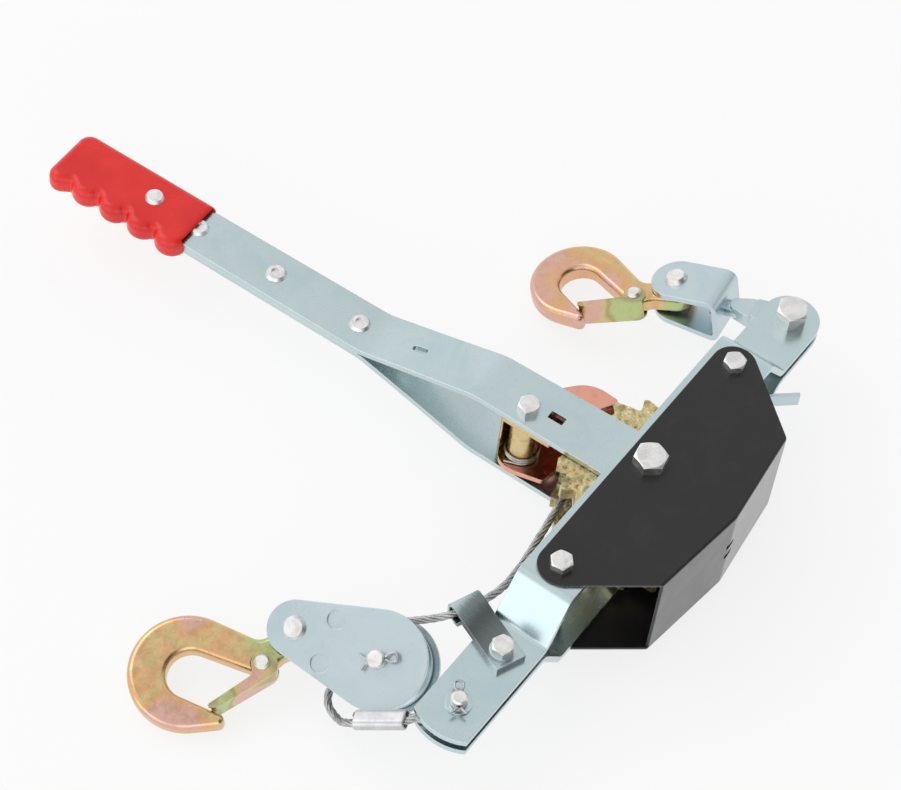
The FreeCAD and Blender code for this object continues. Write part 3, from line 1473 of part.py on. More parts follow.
def hook(prefix, place, size):
    """Forged hook with its latch; size scales their outlines, but not the holes and thicknesses."""
    body = new_body(prefix + "_hook")
    outline = scaled([
        (0, 0, S.hook_eye_r, 1),
        (S.hook_waist_x, S.hook_waist_y, S.hook_waist_r, -1),
        (S.hook_bowl_x, S.hook_bowl_y, S.hook_bowl_r, 1),
        (S.hook_tip_x, S.hook_tip_y, S.hook_tip_r, 1),
        (S.hook_inner_x, S.hook_inner_y, S.hook_inner_r, -1),
        (S.hook_lug_x, S.hook_lug_y, S.hook_lug_r, 1),
        (S.hook_neck_x, S.hook_neck_y, S.hook_neck_r, -1),
    ], size)
    sketch = new_sketch(body)
    draw(sketch, belt(outline))
    pad(body, sketch, "Dim.hook_thick", both=True)
    half = S.hook_thick / 2
    soften(body, "Dim.hook_round", lambda p, edge: abs(abs(p.z) - half) < 1e-3)
    rows = [
        (0, 0, "Dim.hook_eye_hole_r"),
        (f"Dim.hook_lug_x * {size}", f"Dim.hook_lug_y * {size}", "Dim.latch_rivet_r + 0.01"),
    ]
    holes(body, rows, "Dim.hook_thick * 3")
    recess = new_sketch(body, height="Dim.hook_thick / 2")
    circle(recess, f"Dim.hook_lug_x * {size}", f"Dim.hook_lug_y * {size}", "Dim.latch_recess_r")
    pocket(body, recess, "Dim.latch_recess_deep", both=False)
    node(body, prefix + "_hook", place)

    lug = place * shift(S.hook_lug_x * size, S.hook_lug_y * size, 0)
    latch_place = lug * rot(Z_AXIS, S.latch_turn)
    latch(prefix, latch_place, size)
    half_wide = "(Dim.latch_inner + Dim.latch_sheet + 0.1)"
    shank = cylinder("Dim.latch_rivet_r", f"2 * {half_wide}", 0, 0, f"-{half_wide}")
    r = "Dim.latch_rivet_head_r"
    tall = "Dim.latch_rivet_head"
    upper = cone(r, f"{r} * 0.7", tall, 0, 0, half_wide)
    lower = cone(f"{r} * 0.7", r, tall, 0, 0, f"-{half_wide} - {tall}")
    node(fuse([shank, upper, lower]), prefix + "_latch_rivet", lug)

    name = prefix + "_latch_spring"
    wire = S.latch_spring_r
    low = half - S.latch_recess_deep + wire + 0.4
    r_coil = S.latch_rivet_r + wire + 0.35
    leg = S.latch_spring_leg
    start = S.latch_spring_turn
    edges = coil(r_coil, S.latch_spring_pitch, S.latch_spring_turns, start, low, leg, leg)
    least_gap(edges, wire, name)
    node(feature(tube(edges, wire, name), name), name, lug)


def latch(prefix, place, size):
    """Sheet channel: an ear on each side of the hook and a web that shuts the throat."""
    body = new_body(prefix + "_latch")
    end_r = S.latch_end_r
    outline = scaled([
        (0, 0, S.latch_ear_r, 1),
        (S.latch_hollow_r - 3.6, S.latch_ear_r + S.latch_hollow_r + 0.5, S.latch_hollow_r, -1),
        (-S.latch_out + 2 * end_r, S.latch_ear_long - end_r, end_r, 1),
        (-S.latch_out + end_r, S.latch_long - end_r, end_r, 1),
        (S.latch_curl_r - S.latch_out, S.latch_curl_y, S.latch_curl_r, 1),
    ], size)
    sketch = new_sketch(body)
    draw(sketch, belt(outline))
    pad(body, sketch, "2 * (Dim.latch_inner + Dim.latch_sheet)", both=True)

    # Room between the ears, which leaves the web and its curled end
    inner_r = S.latch_curl_r * size - S.latch_sheet
    curl = V(outline[-1][0], outline[-1][1], 0)
    stop = math.radians(S.latch_curl_stop)
    ray = V(math.cos(stop), math.sin(stop), 0)
    left = curl.x - inner_r
    far = 2 * S.latch_ear_long
    wide = 3 * S.latch_curl_r
    out = curl + ray * (2 * S.latch_curl_r)
    room = [
        ("line", V(left, far, 0), V(left, curl.y, 0)),
        ("arc", curl, inner_r, V(left, curl.y, 0), curl + ray * inner_r, 1),
        ("line", curl + ray * inner_r, out),
        ("line", out, V(wide, out.y, 0)),
        ("line", V(wide, out.y, 0), V(wide, far, 0)),
        ("line", V(wide, far, 0), V(left, far, 0)),
    ]
    inside = new_sketch(body)
    draw(inside, room)
    pocket(body, inside, "2 * Dim.latch_inner")
    holes(body, [(0, 0, "Dim.latch_rivet_r + Dim.pivot_fit")], "Dim.hook_thick * 3")
    node(body, prefix + "_latch", place)


# Swivel: an eye on the frame's bolt, a clevis that turns on the eye's shank and its pin


def swivel():
    half = S.eye_lug_half
    lug = new_body("eye_lug")
    outline = [
        (0, 0, S.eye_lug_r, 1),
        (half - 3, S.eye_lug_long - 3, 3, 1),
        (3 - half, S.eye_lug_long - 3, 3, 1),
    ]
    sketch = new_sketch(lug)
    draw(sketch, belt(outline))
    pad(lug, sketch, "Dim.frame_end_gap - 2 * Dim.eye_lug_gap", both=True)
    holes(lug, [(0, 0, "Dim.big_shank_r + Dim.axle_fit")], "Dim.frame_gap")

    # Beyond the plates the lug runs into a drooping neck that narrows to the shank
    droop = rot(X_AXIS, -S.swivel_droop)
    neck = new_body("eye_neck")
    taper = new_sketch(neck, height="Dim.neck_low")
    draw(taper, belt([(0, S.neck_y, S.neck_r, 1), (0, S.neck_end_y, S.neck_end_r, 1)]))
    pad(neck, taper, "Dim.neck_tall")
    neck.Placement = droop
    washer_low = S.clevis_web + S.clevis_sheet + 0.1
    head_low = washer_low + S.swivel_washer_thick
    shank = cylinder("Dim.shank_r", head_low + S.shank_head - S.shank_start)
    shank.Placement = droop * shift(0, S.shank_start, 0) * rot(X_AXIS, -90)
    head = cone("Dim.shank_head_r", "Dim.shank_head_r * 0.8", "Dim.shank_head")
    head.Placement = droop * shift(0, head_low, 0) * rot(X_AXIS, -90)
    keep = cylinder("Dim.frame_wide / 2 + Dim.eye_keep_gap", "Dim.frame_gap", 0, 0, "-Dim.frame_gap / 2")
    bent = cut(fuse([neck, shank, head]), keep)
    node(fuse([lug, bent]), "swivel_eye", SWIVEL_BOLT)

    rim = ("Dim.shank_head_r + 1.5", "Dim.shank_r + 0.1", "Dim.swivel_washer_thick")
    node(washer(*rim, 0, 0, washer_low), "swivel_washer", SWIVEL * rot(X_AXIS, -90))

    clevis()


def clevis():
    """Strap bent to a U whose straight legs close in on the hook."""
    sheet = S.clevis_sheet
    wide_z = S.clevis_half - sheet / 2
    web_y = S.clevis_web + sheet / 2
    near_z = S.clevis_inner + sheet / 2
    tip_y = S.clevis_pin_y + S.clevis_wide / 2 + 1
    line = [
        (tip_y, near_z, 0),
        (web_y, wide_z, S.clevis_bend),
        (web_y, -wide_z, S.clevis_bend),
        (tip_y, -near_z, 0),
    ]
    body = new_body("clevis")
    side = new_sketch(body, "YZ_Plane")
    draw(side, strip(line, sheet))
    pad(body, side, "Dim.clevis_wide", both=True)
    waste = new_sketch(body)
    half = S.clevis_wide / 2
    foot = S.clevis_web - 5
    pin = V(0, S.clevis_pin_y, 0)
    right = V(half, 0, 0)
    floor = V(0, foot, 0)
    keep = [
        ("line", floor - right, floor + right),
        ("line", floor + right, pin + right),
        ("arc", pin, half, pin + right, pin - right, 1),
        ("line", pin - right, floor - right),
    ]
    far = 2 * tip_y
    draw(waste, oblong(-far, foot - 5, far, far, 0))
    draw(waste, keep)
    pocket(body, waste, "Dim.clevis_half * 4")
    holes(body, [(0, "Dim.clevis_pin_y", "Dim.clevis_pin_r + 0.1")], "Dim.clevis_half * 4")
    web_hole = new_sketch(body, "XZ_Plane", "-Dim.clevis_web - Dim.clevis_sheet / 2")
    circle(web_hole, 0, 0, "Dim.shank_r + Dim.axle_fit")
    pocket(body, web_hole, "Dim.clevis_sheet * 3")
    node(body, "clevis", SWIVEL)

    # Each head of the pin lies flat on its sloping leg
    slope = math.atan2(wide_z - near_z, tip_y - web_y)
    face_z = wide_z - math.tan(slope) * (S.clevis_pin_y - web_y) + sheet / 2 / math.cos(slope) + 0.02
    parts = [cylinder("Dim.clevis_pin_r", 2 * face_z, 0, "Dim.clevis_pin_y", -face_z)]
    for sign in (1, -1):
        head = cone("Dim.clevis_pin_head_r", "Dim.clevis_pin_head_r * 0.75", "Dim.clevis_pin_head")
        lean = -math.degrees(slope) if sign > 0 else 180 + math.degrees(slope)
        head.Placement = shift(0, S.clevis_pin_y, sign * face_z) * rot(X_AXIS, lean)
        parts.append(head)
    node(fuse(parts), "clevis_pin", SWIVEL)


def build():
    frame_plate("frame_plate_upper", 1)
    frame_plate("frame_plate_lower", -1)
    guard()
    guard_fasteners()
    axle()
    anchor()
    guide_strap()
    swivel_fasteners()
    drum()
    tail_end, tail_dir = winding()
    cable_run(tail_end, tail_dir)
    handle_plate("handle_plate_upper", 1)
    handle_plate("handle_plate_lower", -1)
    lever_rivets()
    grip()
    pawl_fasteners()
    driving_pawl()
    drive_place = LEVER * shift(S.pawl_x, S.pawl_y, 0)
    pawl_spring("driving_pawl_spring", drive_place, S.pawl_tube_r, S.drive_spring_turn)
    holding_pawl()
    hold_place = BASE * shift(S.guard_bolt_x, 0, 0)
    pawl_spring("holding_pawl_spring", hold_place, S.spacer_r, S.hold_spring_turn)
    block()
    hook("block", BLOCK_HOOK, 1)
    swivel()
    hook("swivel", SWIVEL_HOOK, S.swivel_hook_scale)


def check_and_write():
    DOC.recompute()
    for obj in DOC.Objects:
        if "Invalid" in obj.State or "Error" in obj.State:
            raise ValueError(f"{obj.Name} ({obj.Label}) failed")
    os.makedirs("parts", exist_ok=True)
    whole = FreeCAD.BoundBox()
    for name, obj in NODES:
        shape = obj.Shape
        if shape.isNull() or not shape.isValid():
            raise ValueError(f"{name} has no valid shape")
        whole.add(shape.BoundBox)
        shape.exportStep(f"parts/{name}.step")
        box = shape.BoundBox
        print(f"{name}: {len(shape.Solids)} solids, {shape.Volume:.0f} mm3, low {box.ZMin:.2f}")
    print(f"{len(NODES)} nodes, box {whole}")


build()
check_and_write()
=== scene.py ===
import json
import math

import bpy
import numpy as np
from mathutils import Matrix, Vector


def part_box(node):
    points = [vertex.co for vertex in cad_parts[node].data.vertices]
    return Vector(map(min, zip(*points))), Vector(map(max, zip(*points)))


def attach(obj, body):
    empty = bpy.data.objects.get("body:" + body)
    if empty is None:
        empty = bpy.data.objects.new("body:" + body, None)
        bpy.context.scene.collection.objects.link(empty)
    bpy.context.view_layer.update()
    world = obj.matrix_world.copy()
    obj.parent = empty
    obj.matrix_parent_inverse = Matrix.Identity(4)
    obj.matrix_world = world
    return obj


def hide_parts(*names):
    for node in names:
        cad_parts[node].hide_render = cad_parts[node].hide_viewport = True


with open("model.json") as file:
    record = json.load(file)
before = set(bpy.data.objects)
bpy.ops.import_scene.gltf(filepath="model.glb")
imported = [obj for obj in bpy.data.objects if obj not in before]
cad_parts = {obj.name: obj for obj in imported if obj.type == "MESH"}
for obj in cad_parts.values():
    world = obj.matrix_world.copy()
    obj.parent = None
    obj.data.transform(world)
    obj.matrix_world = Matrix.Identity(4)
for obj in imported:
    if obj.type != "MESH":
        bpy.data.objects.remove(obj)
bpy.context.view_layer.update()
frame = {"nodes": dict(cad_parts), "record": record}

# Come along winch, dressed. Metres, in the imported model's frame: +Z up along the drum's axle,
# +Y along the lever, +X towards the swivel hook's end.

MM = 0.001

# The drum's place and the camera, as fitted to the winch
DRUM = Vector((52.78, -190.75, 50.0)) * MM
CAMERA_FROM_DRUM = Vector((-1008, -432, 1567)) * MM
CAMERA_FORWARD = Vector((0.5124, 0.2929, -0.8072))
CAMERA_UP = Vector((0.6271, 0.5145, 0.5848))
LENS = 123.9
SENSOR = 36.0

# Lamps: name, place, side and watts, all turned to the winch's middle
LAMPS = [
    ("key", (-0.2, 1.5, 1.7), 1.6, 9),
    ("fill", (-1.4, -1.0, 0.8), 1.2, 3),
]
WINCH_MIDDLE = Vector((0, 0, 0.04))

# The floor's side, its grey, and the share of plain white that the eye and mirrors see on it
FLOOR_SIDE = 30
FLOOR_GREY = (0.93, 0.93, 0.93)
FLOOR_GLOW = 0.80

# The light tent: light from the sides and below, which turns into the light from above by the cosine
# TOP_FULL, and patches over both: the way to a patch, the cosines between which it fades in towards its
# middle, how far it covers, and its light
WHITE = (1.0, 1.0, 1.0)
SIDE_LIGHT = (1.02, 1.02, 1.04)
TOP_LIGHT = (0.84, 0.84, 0.84)
TOP_FULL = 0.7
PATCHES = [
    ((-0.92, 0.29, 0.28), (0.86, 0.97), 1.0, (1.6, 1.6, 1.65)),
    ((0.12, 0.12, 0.98), (0.94, 0.99), 0.55, (0.62, 0.62, 0.62)),
    ((0.1, -0.80, 0.60), (0.76, 0.93), 0.95, (0.06, 0.07, 0.08)),
    ((0.95, -0.2, 0.25), (0.90, 0.99), 0.6, (0.20, 0.22, 0.24)),
]

# Noise stays mostly between these two values
NOISE_LOW = 0.3
NOISE_HIGH = 0.7

# Between these two, a chromate's noise goes through its tones
TONES_FROM = 0.37
TONES_TO = 0.63

# Cosines between a rounded normal and the plain one: on a sharp edge, and clear of it
EDGE_ON = 0.90
EDGE_OFF = 0.995

# Scales of drawn lines along the stock, and of even grain, per metre on each axis
ALONG_X = (60, 2200, 2200)
ALONG_Y = (2200, 60, 2200)
EVEN = (700, 700, 700)

# Zinc, plain and chromated
BLUE_ZINC = (0.57, 0.69, 0.715)
LEVER_ZINC = (0.57, 0.68, 0.70)
DULL_ZINC = (0.57, 0.67, 0.705)
BOLT_ZINC = (0.90, 0.89, 0.87)
ROSE = (0.76, 0.46, 0.38)
PINK = (0.84, 0.41, 0.31)
ORANGE = (0.78, 0.46, 0.24)
GOLD = (0.72, 0.55, 0.27)
LEMON = (0.70, 0.60, 0.32)
GREEN = (0.52, 0.60, 0.28)
OLIVE = (0.46, 0.40, 0.20)

# Nodes whose finish departs from their slot's
OWN_LOOKS = {"cable_guide_strap": "strap_painted_reflection", "pawl_spacer_tube": "tube_gold"}

# Rope: strands laid round a core, with the lengths in which a strand goes once round the rope, and a wire
# once round its strand
ROPE_R = 2.5 * MM
STRANDS = 6
STRAND_R = 0.88 * MM
ROPE_LAY = 33 * MM
WIRE_LAY = 9 * MM
WIRES_SEEN = 9

# Points round a strand's tube, the step along it, and the spline's own steps from one point to the next
RING = 9
ROPE_STEP = 1.5 * MM
SPLINE_STEPS = 20

# Control points in a turn on the drum
TURN_POINTS = 16

# The route's points in part.py, from the drum, in millimetres. The point at the sheave is two here, with
# one more on each side, so that the spline lies in the groove and doesn't cut through the wheel.
ROPE_ROUTE = [
    # From the drum through the guide strap
    (-26.1, 36.6, 5.4), (-66.0, 30.5, 5.5), (-97.0, 25.8, 7.0), (-119.0, 26.0, 8.0),
    # Round the sheave
    (-147.2, 39.42, 3.31), (-165.85, 67.3, -7.38), (-172.76, 77.62, -11.33), (-183.25, 82.49, -17.34),
    (-194.44, 80.59, -23.75),
    # Through the ferrule, round the anchor pin and back into the ferrule
    (-208.2, 78.3, -30.5), (-221.1, 74.3, -35.6), (-227.5, 59.6, -32.3), (-233.3, 50.2, -17.1),
    (-220.0, 16.6, 1.1), (-202.3, 14.2, 0.0), (-185.9, 5.0, 0.0), (-186.7, -6.1, 0.0), (-197.6, -8.8, 0.0),
    (-209.4, 5.7, 0.0), (-215.1, 18.5, 1.1), (-227.3, 49.2, -15.5),
]


# Camera, light and floor


def add_camera():
    data = bpy.data.cameras.new("camera")
    data.lens = LENS
    data.sensor_width = SENSOR
    data.sensor_fit = "HORIZONTAL"
    data.clip_start = 0.05
    data.clip_end = 50
    camera = bpy.data.objects.new("camera", data)
    back = -CAMERA_FORWARD.normalized()
    right = CAMERA_UP.cross(back).normalized()
    up = back.cross(right)
    turn = Matrix((right, up, back)).transposed().to_4x4()
    camera.matrix_world = Matrix.Translation(DRUM + CAMERA_FROM_DRUM) @ turn
    bpy.context.scene.collection.objects.link(camera)
    bpy.context.scene.camera = camera


def add_lamp(name, place, side, watts):
    """Soft square lamp that looks at the winch."""
    data = bpy.data.lights.new(name, "AREA")
    data.shape = "SQUARE"
    data.size = side
    data.energy = watts
    lamp = bpy.data.objects.new(name, data)
    lamp.location = place
    lamp.rotation_euler = (WINCH_MIDDLE - Vector(place)).to_track_quat("-Z", "Y").to_euler()
    bpy.context.scene.collection.objects.link(lamp)


class Nodes:
    """Short ways to add and join a material's nodes."""

    def __init__(self, tree):
        self.tree = tree
        tree.nodes.clear()

    def add(self, kind, **settings):
        made = self.tree.nodes.new("ShaderNode" + kind)
        for name, setting in settings.items():
            setattr(made, name, setting)
        return made

    def join(self, source, target):
        self.tree.links.new(source, target)

    def put(self, socket, source):
        """Sets a socket to a number or colour, or joins another node's output to it."""
        if isinstance(source, bpy.types.NodeSocket):
            self.join(source, socket)
        elif isinstance(source, tuple):
            socket.default_value = (*source, 1)
        else:
            socket.default_value = source

    def place(self, stretch=(1, 1, 1)):
        """Object coordinates in metres, with each axis scaled."""
        coords = self.add("TexCoord")
        mapping = self.add("Mapping")
        mapping.inputs["Scale"].default_value = stretch
        self.join(coords.outputs["Object"], mapping.inputs["Vector"])
        return mapping.outputs["Vector"]

    def axes(self, vector):
        """The vector's three parts, by their letters."""
        parts = self.add("SeparateXYZ")
        self.join(vector, parts.inputs["Vector"])
        return parts.outputs

    def noise(self, where, scale, detail, rough, twist=0):
        made = self.add("TexNoise")
        self.put(made.inputs["Vector"], where)
        self.put(made.inputs["Scale"], scale)
        self.put(made.inputs["Detail"], detail)
        self.put(made.inputs["Roughness"], rough)
        self.put(made.inputs["Distortion"], twist)
        return made.outputs["Fac"]

    def ramp(self, source, stops):
        """Colours or greys at the given places, eased between."""
        made = self.add("ValToRGB")
        made.color_ramp.interpolation = "EASE"
        row = made.color_ramp.elements
        while len(row) < len(stops):
            row.new(0.5)
        for element, (spot, colour) in zip(row, stops):
            element.position = spot
            element.color = (*colour, 1) if isinstance(colour, tuple) else (colour, colour, colour, 1)
        self.join(source, made.inputs["Fac"])
        return made.outputs["Color"]

    def span(self, source, low, high, from_low=NOISE_LOW, from_high=NOISE_HIGH):
        """The source moved from its own range, a noise's if none is given, to the range from low to high."""
        made = self.add("MapRange")
        self.put(made.inputs["Value"], source)
        limits = {"From Min": from_low, "From Max": from_high, "To Min": low, "To Max": high}
        for name, number in limits.items():
            self.put(made.inputs[name], number)
        return made.outputs["Result"]

    def maths(self, kind, one, two=0.0):
        made = self.add("Math", operation=kind)
        self.put(made.inputs[0], one)
        self.put(made.inputs[1], two)
        return made.outputs[0]

    def mix(self, share, one, two):
        made = self.add("Mix", data_type="RGBA")
        self.put(made.inputs["Factor"], share)
        self.put(made.inputs["A"], one)
        self.put(made.inputs["B"], two)
        return made.outputs["Result"]

    def dot(self, one):
        """A dot product's node, with its first side joined."""
        made = self.add("VectorMath", operation="DOT_PRODUCT")
        self.join(one, made.inputs[0])
        return made

    def bump(self, source, depth, strength, under=None):
        made = self.add("Bump")
        self.put(made.inputs["Height"], source)
        self.put(made.inputs["Distance"], depth)
        self.put(made.inputs["Strength"], strength)
        if under is not None:
            self.join(under, made.inputs["Normal"])
        return made.outputs["Normal"]

    def soft_edges(self, radius=0.0006):
        """Normal that is rounded over sharp edges, and a mask that is 1 on those edges."""
        made = self.add("Bevel", samples=4)
        self.put(made.inputs["Radius"], radius)
        across = self.dot(made.outputs["Normal"])
        self.join(self.add("NewGeometry").outputs["Normal"], across.inputs[1])
        return made.outputs["Normal"], self.span(across.outputs["Value"], 1.0, 0.0, EDGE_ON, EDGE_OFF)

    def wear_and_painted_highlight(self, colour, edge, share, edge_tone):
        """The colour with its edges turned towards a paler tone: rubbed wear, and a painted highlight along
        each sharp edge.
        """
        return self.mix(self.maths("MULTIPLY", edge, share), colour, edge_tone)

    def finish(self, **sockets):
        """Principled shader with the given sockets, named with underscores, joined to the output."""
        shader = self.add("BsdfPrincipled")
        for name, source in sockets.items():
            self.put(shader.inputs[name.replace("_", " ")], source)
        out = self.add("OutputMaterial")
        self.join(shader.outputs["BSDF"], out.inputs["Surface"])


def new_material():
    made = bpy.data.materials.new("finish")
    made.use_nodes = True
    return made, Nodes(made.node_tree)


def add_floor():
    """Pale floor that shows near white to the eye and to mirrors, and keeps the shadow."""
    bpy.ops.mesh.primitive_plane_add(size=FLOOR_SIDE, location=(0, 0, 0))
    floor = bpy.context.object
    floor.name = "floor"
    made, n = new_material()
    made.name = "floor"
    path = n.add("LightPath")
    seen = n.maths("MAXIMUM", path.outputs["Is Camera Ray"], path.outputs["Is Glossy Ray"])
    share = n.maths("MULTIPLY", seen, FLOOR_GLOW)
    matte = n.add("BsdfDiffuse")
    n.put(matte.inputs["Color"], FLOOR_GREY)
    glow = n.add("Emission")
    n.put(glow.inputs["Color"], WHITE)
    blend = n.add("MixShader")
    n.join(share, blend.inputs["Fac"])
    n.join(matte.outputs["BSDF"], blend.inputs[1])
    n.join(glow.outputs["Emission"], blend.inputs[2])
    out = n.add("OutputMaterial")
    n.join(blend.outputs["Shader"], out.inputs["Surface"])
    floor.data.materials.append(made)


def set_world():
    """Light tent: even light, a little weaker from above, with bright and dark patches for the metal to
    mirror, and white where the eye sees it."""
    world = bpy.data.worlds.new("tent")
    world.use_nodes = True
    bpy.context.scene.world = world
    n = Nodes(world.node_tree)
    where = n.add("TexCoord").outputs["Generated"]

    def towards(direction):
        made = n.dot(where)
        made.inputs[1].default_value = Vector(direction).normalized()
        return made.outputs["Value"]

    light = n.mix(n.span(towards((0, 0, 1)), 0.0, 1.0, 0.0, TOP_FULL), SIDE_LIGHT, TOP_LIGHT)
    for direction, (start, full), share, tone in PATCHES:
        light = n.mix(n.span(towards(direction), 0.0, share, start, full), light, tone)
    path = n.add("LightPath")
    shade = n.mix(path.outputs["Is Camera Ray"], light, WHITE)
    back = n.add("Background")
    n.join(shade, back.inputs["Color"])
    n.put(back.inputs["Strength"], 1.0)
    out = n.add("OutputWorld")
    n.join(back.outputs["Background"], out.inputs["Surface"])


def stage():
    bpy.context.scene.view_settings.view_transform = "Standard"
    add_camera()
    set_world()
    add_floor()
    for lamp in LAMPS:
        add_lamp(*lamp)


# Materials


def toned(colour, *shares):
    """The colour with its channels multiplied by the shares, or by the only one, and none above 1."""
    shares = shares * 3 if len(shares) == 1 else shares
    return tuple(min(1, c * s) for c, s in zip(colour, shares))


def zinc(grain, base, rough=(0.20, 0.34), warmth=0.10):
    """Bright zinc plate, finely lined along the stock or evenly grained, and clouded by handling."""
    made, n = new_material()
    lines = n.noise(n.place(grain), 1.0, 4, 0.7)
    cloud = n.noise(n.place(), 24, 4, 0.6, 0.6)
    spots = n.noise(n.place(), 420, 3, 0.6)
    rounded, edge = n.soft_edges()
    darker = toned(base, 0.93, 0.96, 0.98)
    paler = toned(base, 1.08, 1.05, 1.02)
    colour = n.ramp(cloud, [(0.30, darker), (0.55, base), (0.75, paler)])
    warm = n.ramp(n.noise(n.place(), 60, 2, 0.5, 1.0), [(0.50, 0.0), (0.74, warmth)])
    colour = n.mix(warm, colour, (0.72, 0.68, 0.56))
    colour = n.mix(n.ramp(spots, [(0.30, 0.14), (0.42, 0.0)]), colour, (0.40, 0.44, 0.46))
    # Paler edges: partly rubbed wear, partly a painted highlight
    colour = n.wear_and_painted_highlight(colour, edge, 0.55, (0.88, 0.93, 0.95))
    dull = n.maths("ADD", n.maths("MULTIPLY", lines, 0.35), n.maths("MULTIPLY", cloud, 0.65))
    surface = n.bump(n.noise(n.place(), 11, 2, 0.4), 0.0032, 0.6, rounded)
    surface = n.bump(lines, 0.00006, 0.08, surface)
    surface = n.bump(n.noise(n.place(), 130, 3, 0.6), 0.00012, 0.20, surface)
    n.finish(Base_Color=colour, Metallic=1.0, Roughness=n.span(dull, *rough), Normal=surface)
    return made


def bolt_steel():
    """Pale plated bolt heads, pitted by forging."""
    made, n = new_material()
    cloud = n.noise(n.place(), 130, 4, 0.6, 0.5)
    pits = n.noise(n.place(), 900, 3, 0.6)
    rounded, edge = n.soft_edges(0.0005)
    colour = n.ramp(cloud, [(0.32, toned(BOLT_ZINC, 0.84)), (0.62, BOLT_ZINC)])
    colour = n.mix(n.ramp(pits, [(0.32, 0.35), (0.42, 0.0)]), colour, (0.38, 0.36, 0.33))
    # Paler edges: partly rubbed wear, partly a painted highlight
    colour = n.wear_and_painted_highlight(colour, edge, 0.4, (0.92, 0.92, 0.92))
    surface = n.bump(pits, 0.00012, 0.45, rounded)
    n.finish(Base_Color=colour, Metallic=1.0, Roughness=n.span(cloud, 0.30, 0.48), Normal=surface)
    return made


def chromate(tones, grain, rough, cast=0.0, lumps=0.00025):
    """Yellow chromate over zinc whose colour drifts through the tones; lumpy on castings, with brown patches
    that are partly stains and partly painted shade, and pale flecks that are painted highlights.
    """
    made, n = new_material()
    drift = n.noise(n.place(), grain, 1, 0.4, 0.5)
    fine = n.noise(n.place(), 170, 4, 0.6, 0.4)
    grit = n.noise(n.place(), 800, 4, 0.65)
    rounded, edge = n.soft_edges()
    places = np.linspace(TONES_FROM, TONES_TO, len(tones))
    colour = n.ramp(drift, list(zip(places, tones)))
    shadow = toned(tones[len(tones) // 2], 0.60)
    colour = n.mix(n.ramp(fine, [(0.34, 0.22 + 0.25 * cast), (0.56, 0.0)]), colour, shadow)
    if cast:
        stains_and_painted_light = n.noise(n.place(), 210, 5, 0.75)
        # Brown patches: partly stains, partly painted shade
        colour = n.mix(n.ramp(stains_and_painted_light, [(0.36, 0.75 * cast), (0.50, 0.0)]), colour, (0.20, 0.12, 0.05))
        # Pale flecks: painted highlights
        colour = n.mix(n.ramp(stains_and_painted_light, [(0.55, 0.0), (0.66, 0.8 * cast)]), colour, (0.95, 0.88, 0.62))
    # Paler edges: partly rubbed chromate, partly a painted highlight
    colour = n.wear_and_painted_highlight(colour, edge, 0.35, (0.88, 0.84, 0.66))
    surface = n.bump(n.noise(n.place(), 190, 4, 0.6), lumps, 0.45 + 0.4 * cast, rounded)
    surface = n.bump(grit, 0.00008 + 0.00025 * cast, 0.30 + 0.5 * cast, surface)
    n.finish(Base_Color=colour, Metallic=1.0, Roughness=n.span(fine, *rough), Normal=surface)
    return made


def strap_painted_reflection(low, high):
    """Rolled strap, with a painted dark reflection along its middle, and rubbed pale at its bend and its
    foot.
    """
    made, n = new_material()
    along = n.span(n.axes(n.place())["Y"], 0.0, 1.0, low[1], high[1])
    lines = n.noise(n.place(ALONG_Y), 1.0, 4, 0.7)
    along = n.maths("ADD", along, n.span(lines, -0.05, 0.05))
    rounded, edge = n.soft_edges()
    # A painted dark reflection fills the strap's middle; its bend and its foot stay pale
    colour = n.ramp(along, [
        (0.16, (0.52, 0.60, 0.61)),
        (0.36, (0.17, 0.19, 0.19)),
        (0.62, (0.10, 0.115, 0.115)),
        (0.80, (0.20, 0.24, 0.24)),
        (0.93, (0.56, 0.66, 0.68)),
    ])
    # Paler edges: partly rubbed wear, partly a painted highlight
    colour = n.wear_and_painted_highlight(colour, edge, 0.6, (0.80, 0.86, 0.88))
    surface = n.bump(lines, 0.00006, 0.25, rounded)
    n.finish(Base_Color=colour, Metallic=1.0, Roughness=n.span(lines, 0.18, 0.32), Normal=surface)
    return made


def black_coat():
    """Black powder coat with a fine orange peel, a few dusty marks and a pale sheen at low angles."""
    made, n = new_material()
    peel = n.noise(n.place(), 620, 2, 0.5)
    dust = n.noise(n.place(), 55, 5, 0.65, 0.5)
    rounded, edge = n.soft_edges(0.0008)
    colour = n.ramp(dust, [(0.45, (0.006, 0.006, 0.006)), (0.80, (0.014, 0.013, 0.013))])
    # Lighter edges: partly rubbed coat, partly a painted highlight
    colour = n.wear_and_painted_highlight(colour, edge, 0.25, (0.10, 0.10, 0.10))
    surface = n.bump(peel, 0.00008, 0.30, rounded)
    rough = n.span(dust, 0.28, 0.40, NOISE_LOW, 0.75)
    n.finish(Base_Color=colour, Roughness=rough, Normal=surface, Sheen_Weight=1.0, Sheen_Roughness=0.30)
    return made


def red_plastic():
    """Soft glossy red moulding."""
    made, n = new_material()
    cloud = n.noise(n.place(), 40, 3, 0.5)
    skin = n.noise(n.place(), 700, 2, 0.5)
    colour = n.ramp(cloud, [(0.30, (0.72, 0.012, 0.009)), (0.70, (0.80, 0.020, 0.015))])
    surface = n.bump(skin, 0.00006, 0.25)
    surface = n.bump(n.noise(n.place(), 60, 2, 0.5), 0.0004, 0.2, surface)
    n.finish(Base_Color=colour, Roughness=n.span(cloud, 0.20, 0.30), Normal=surface)
    return made


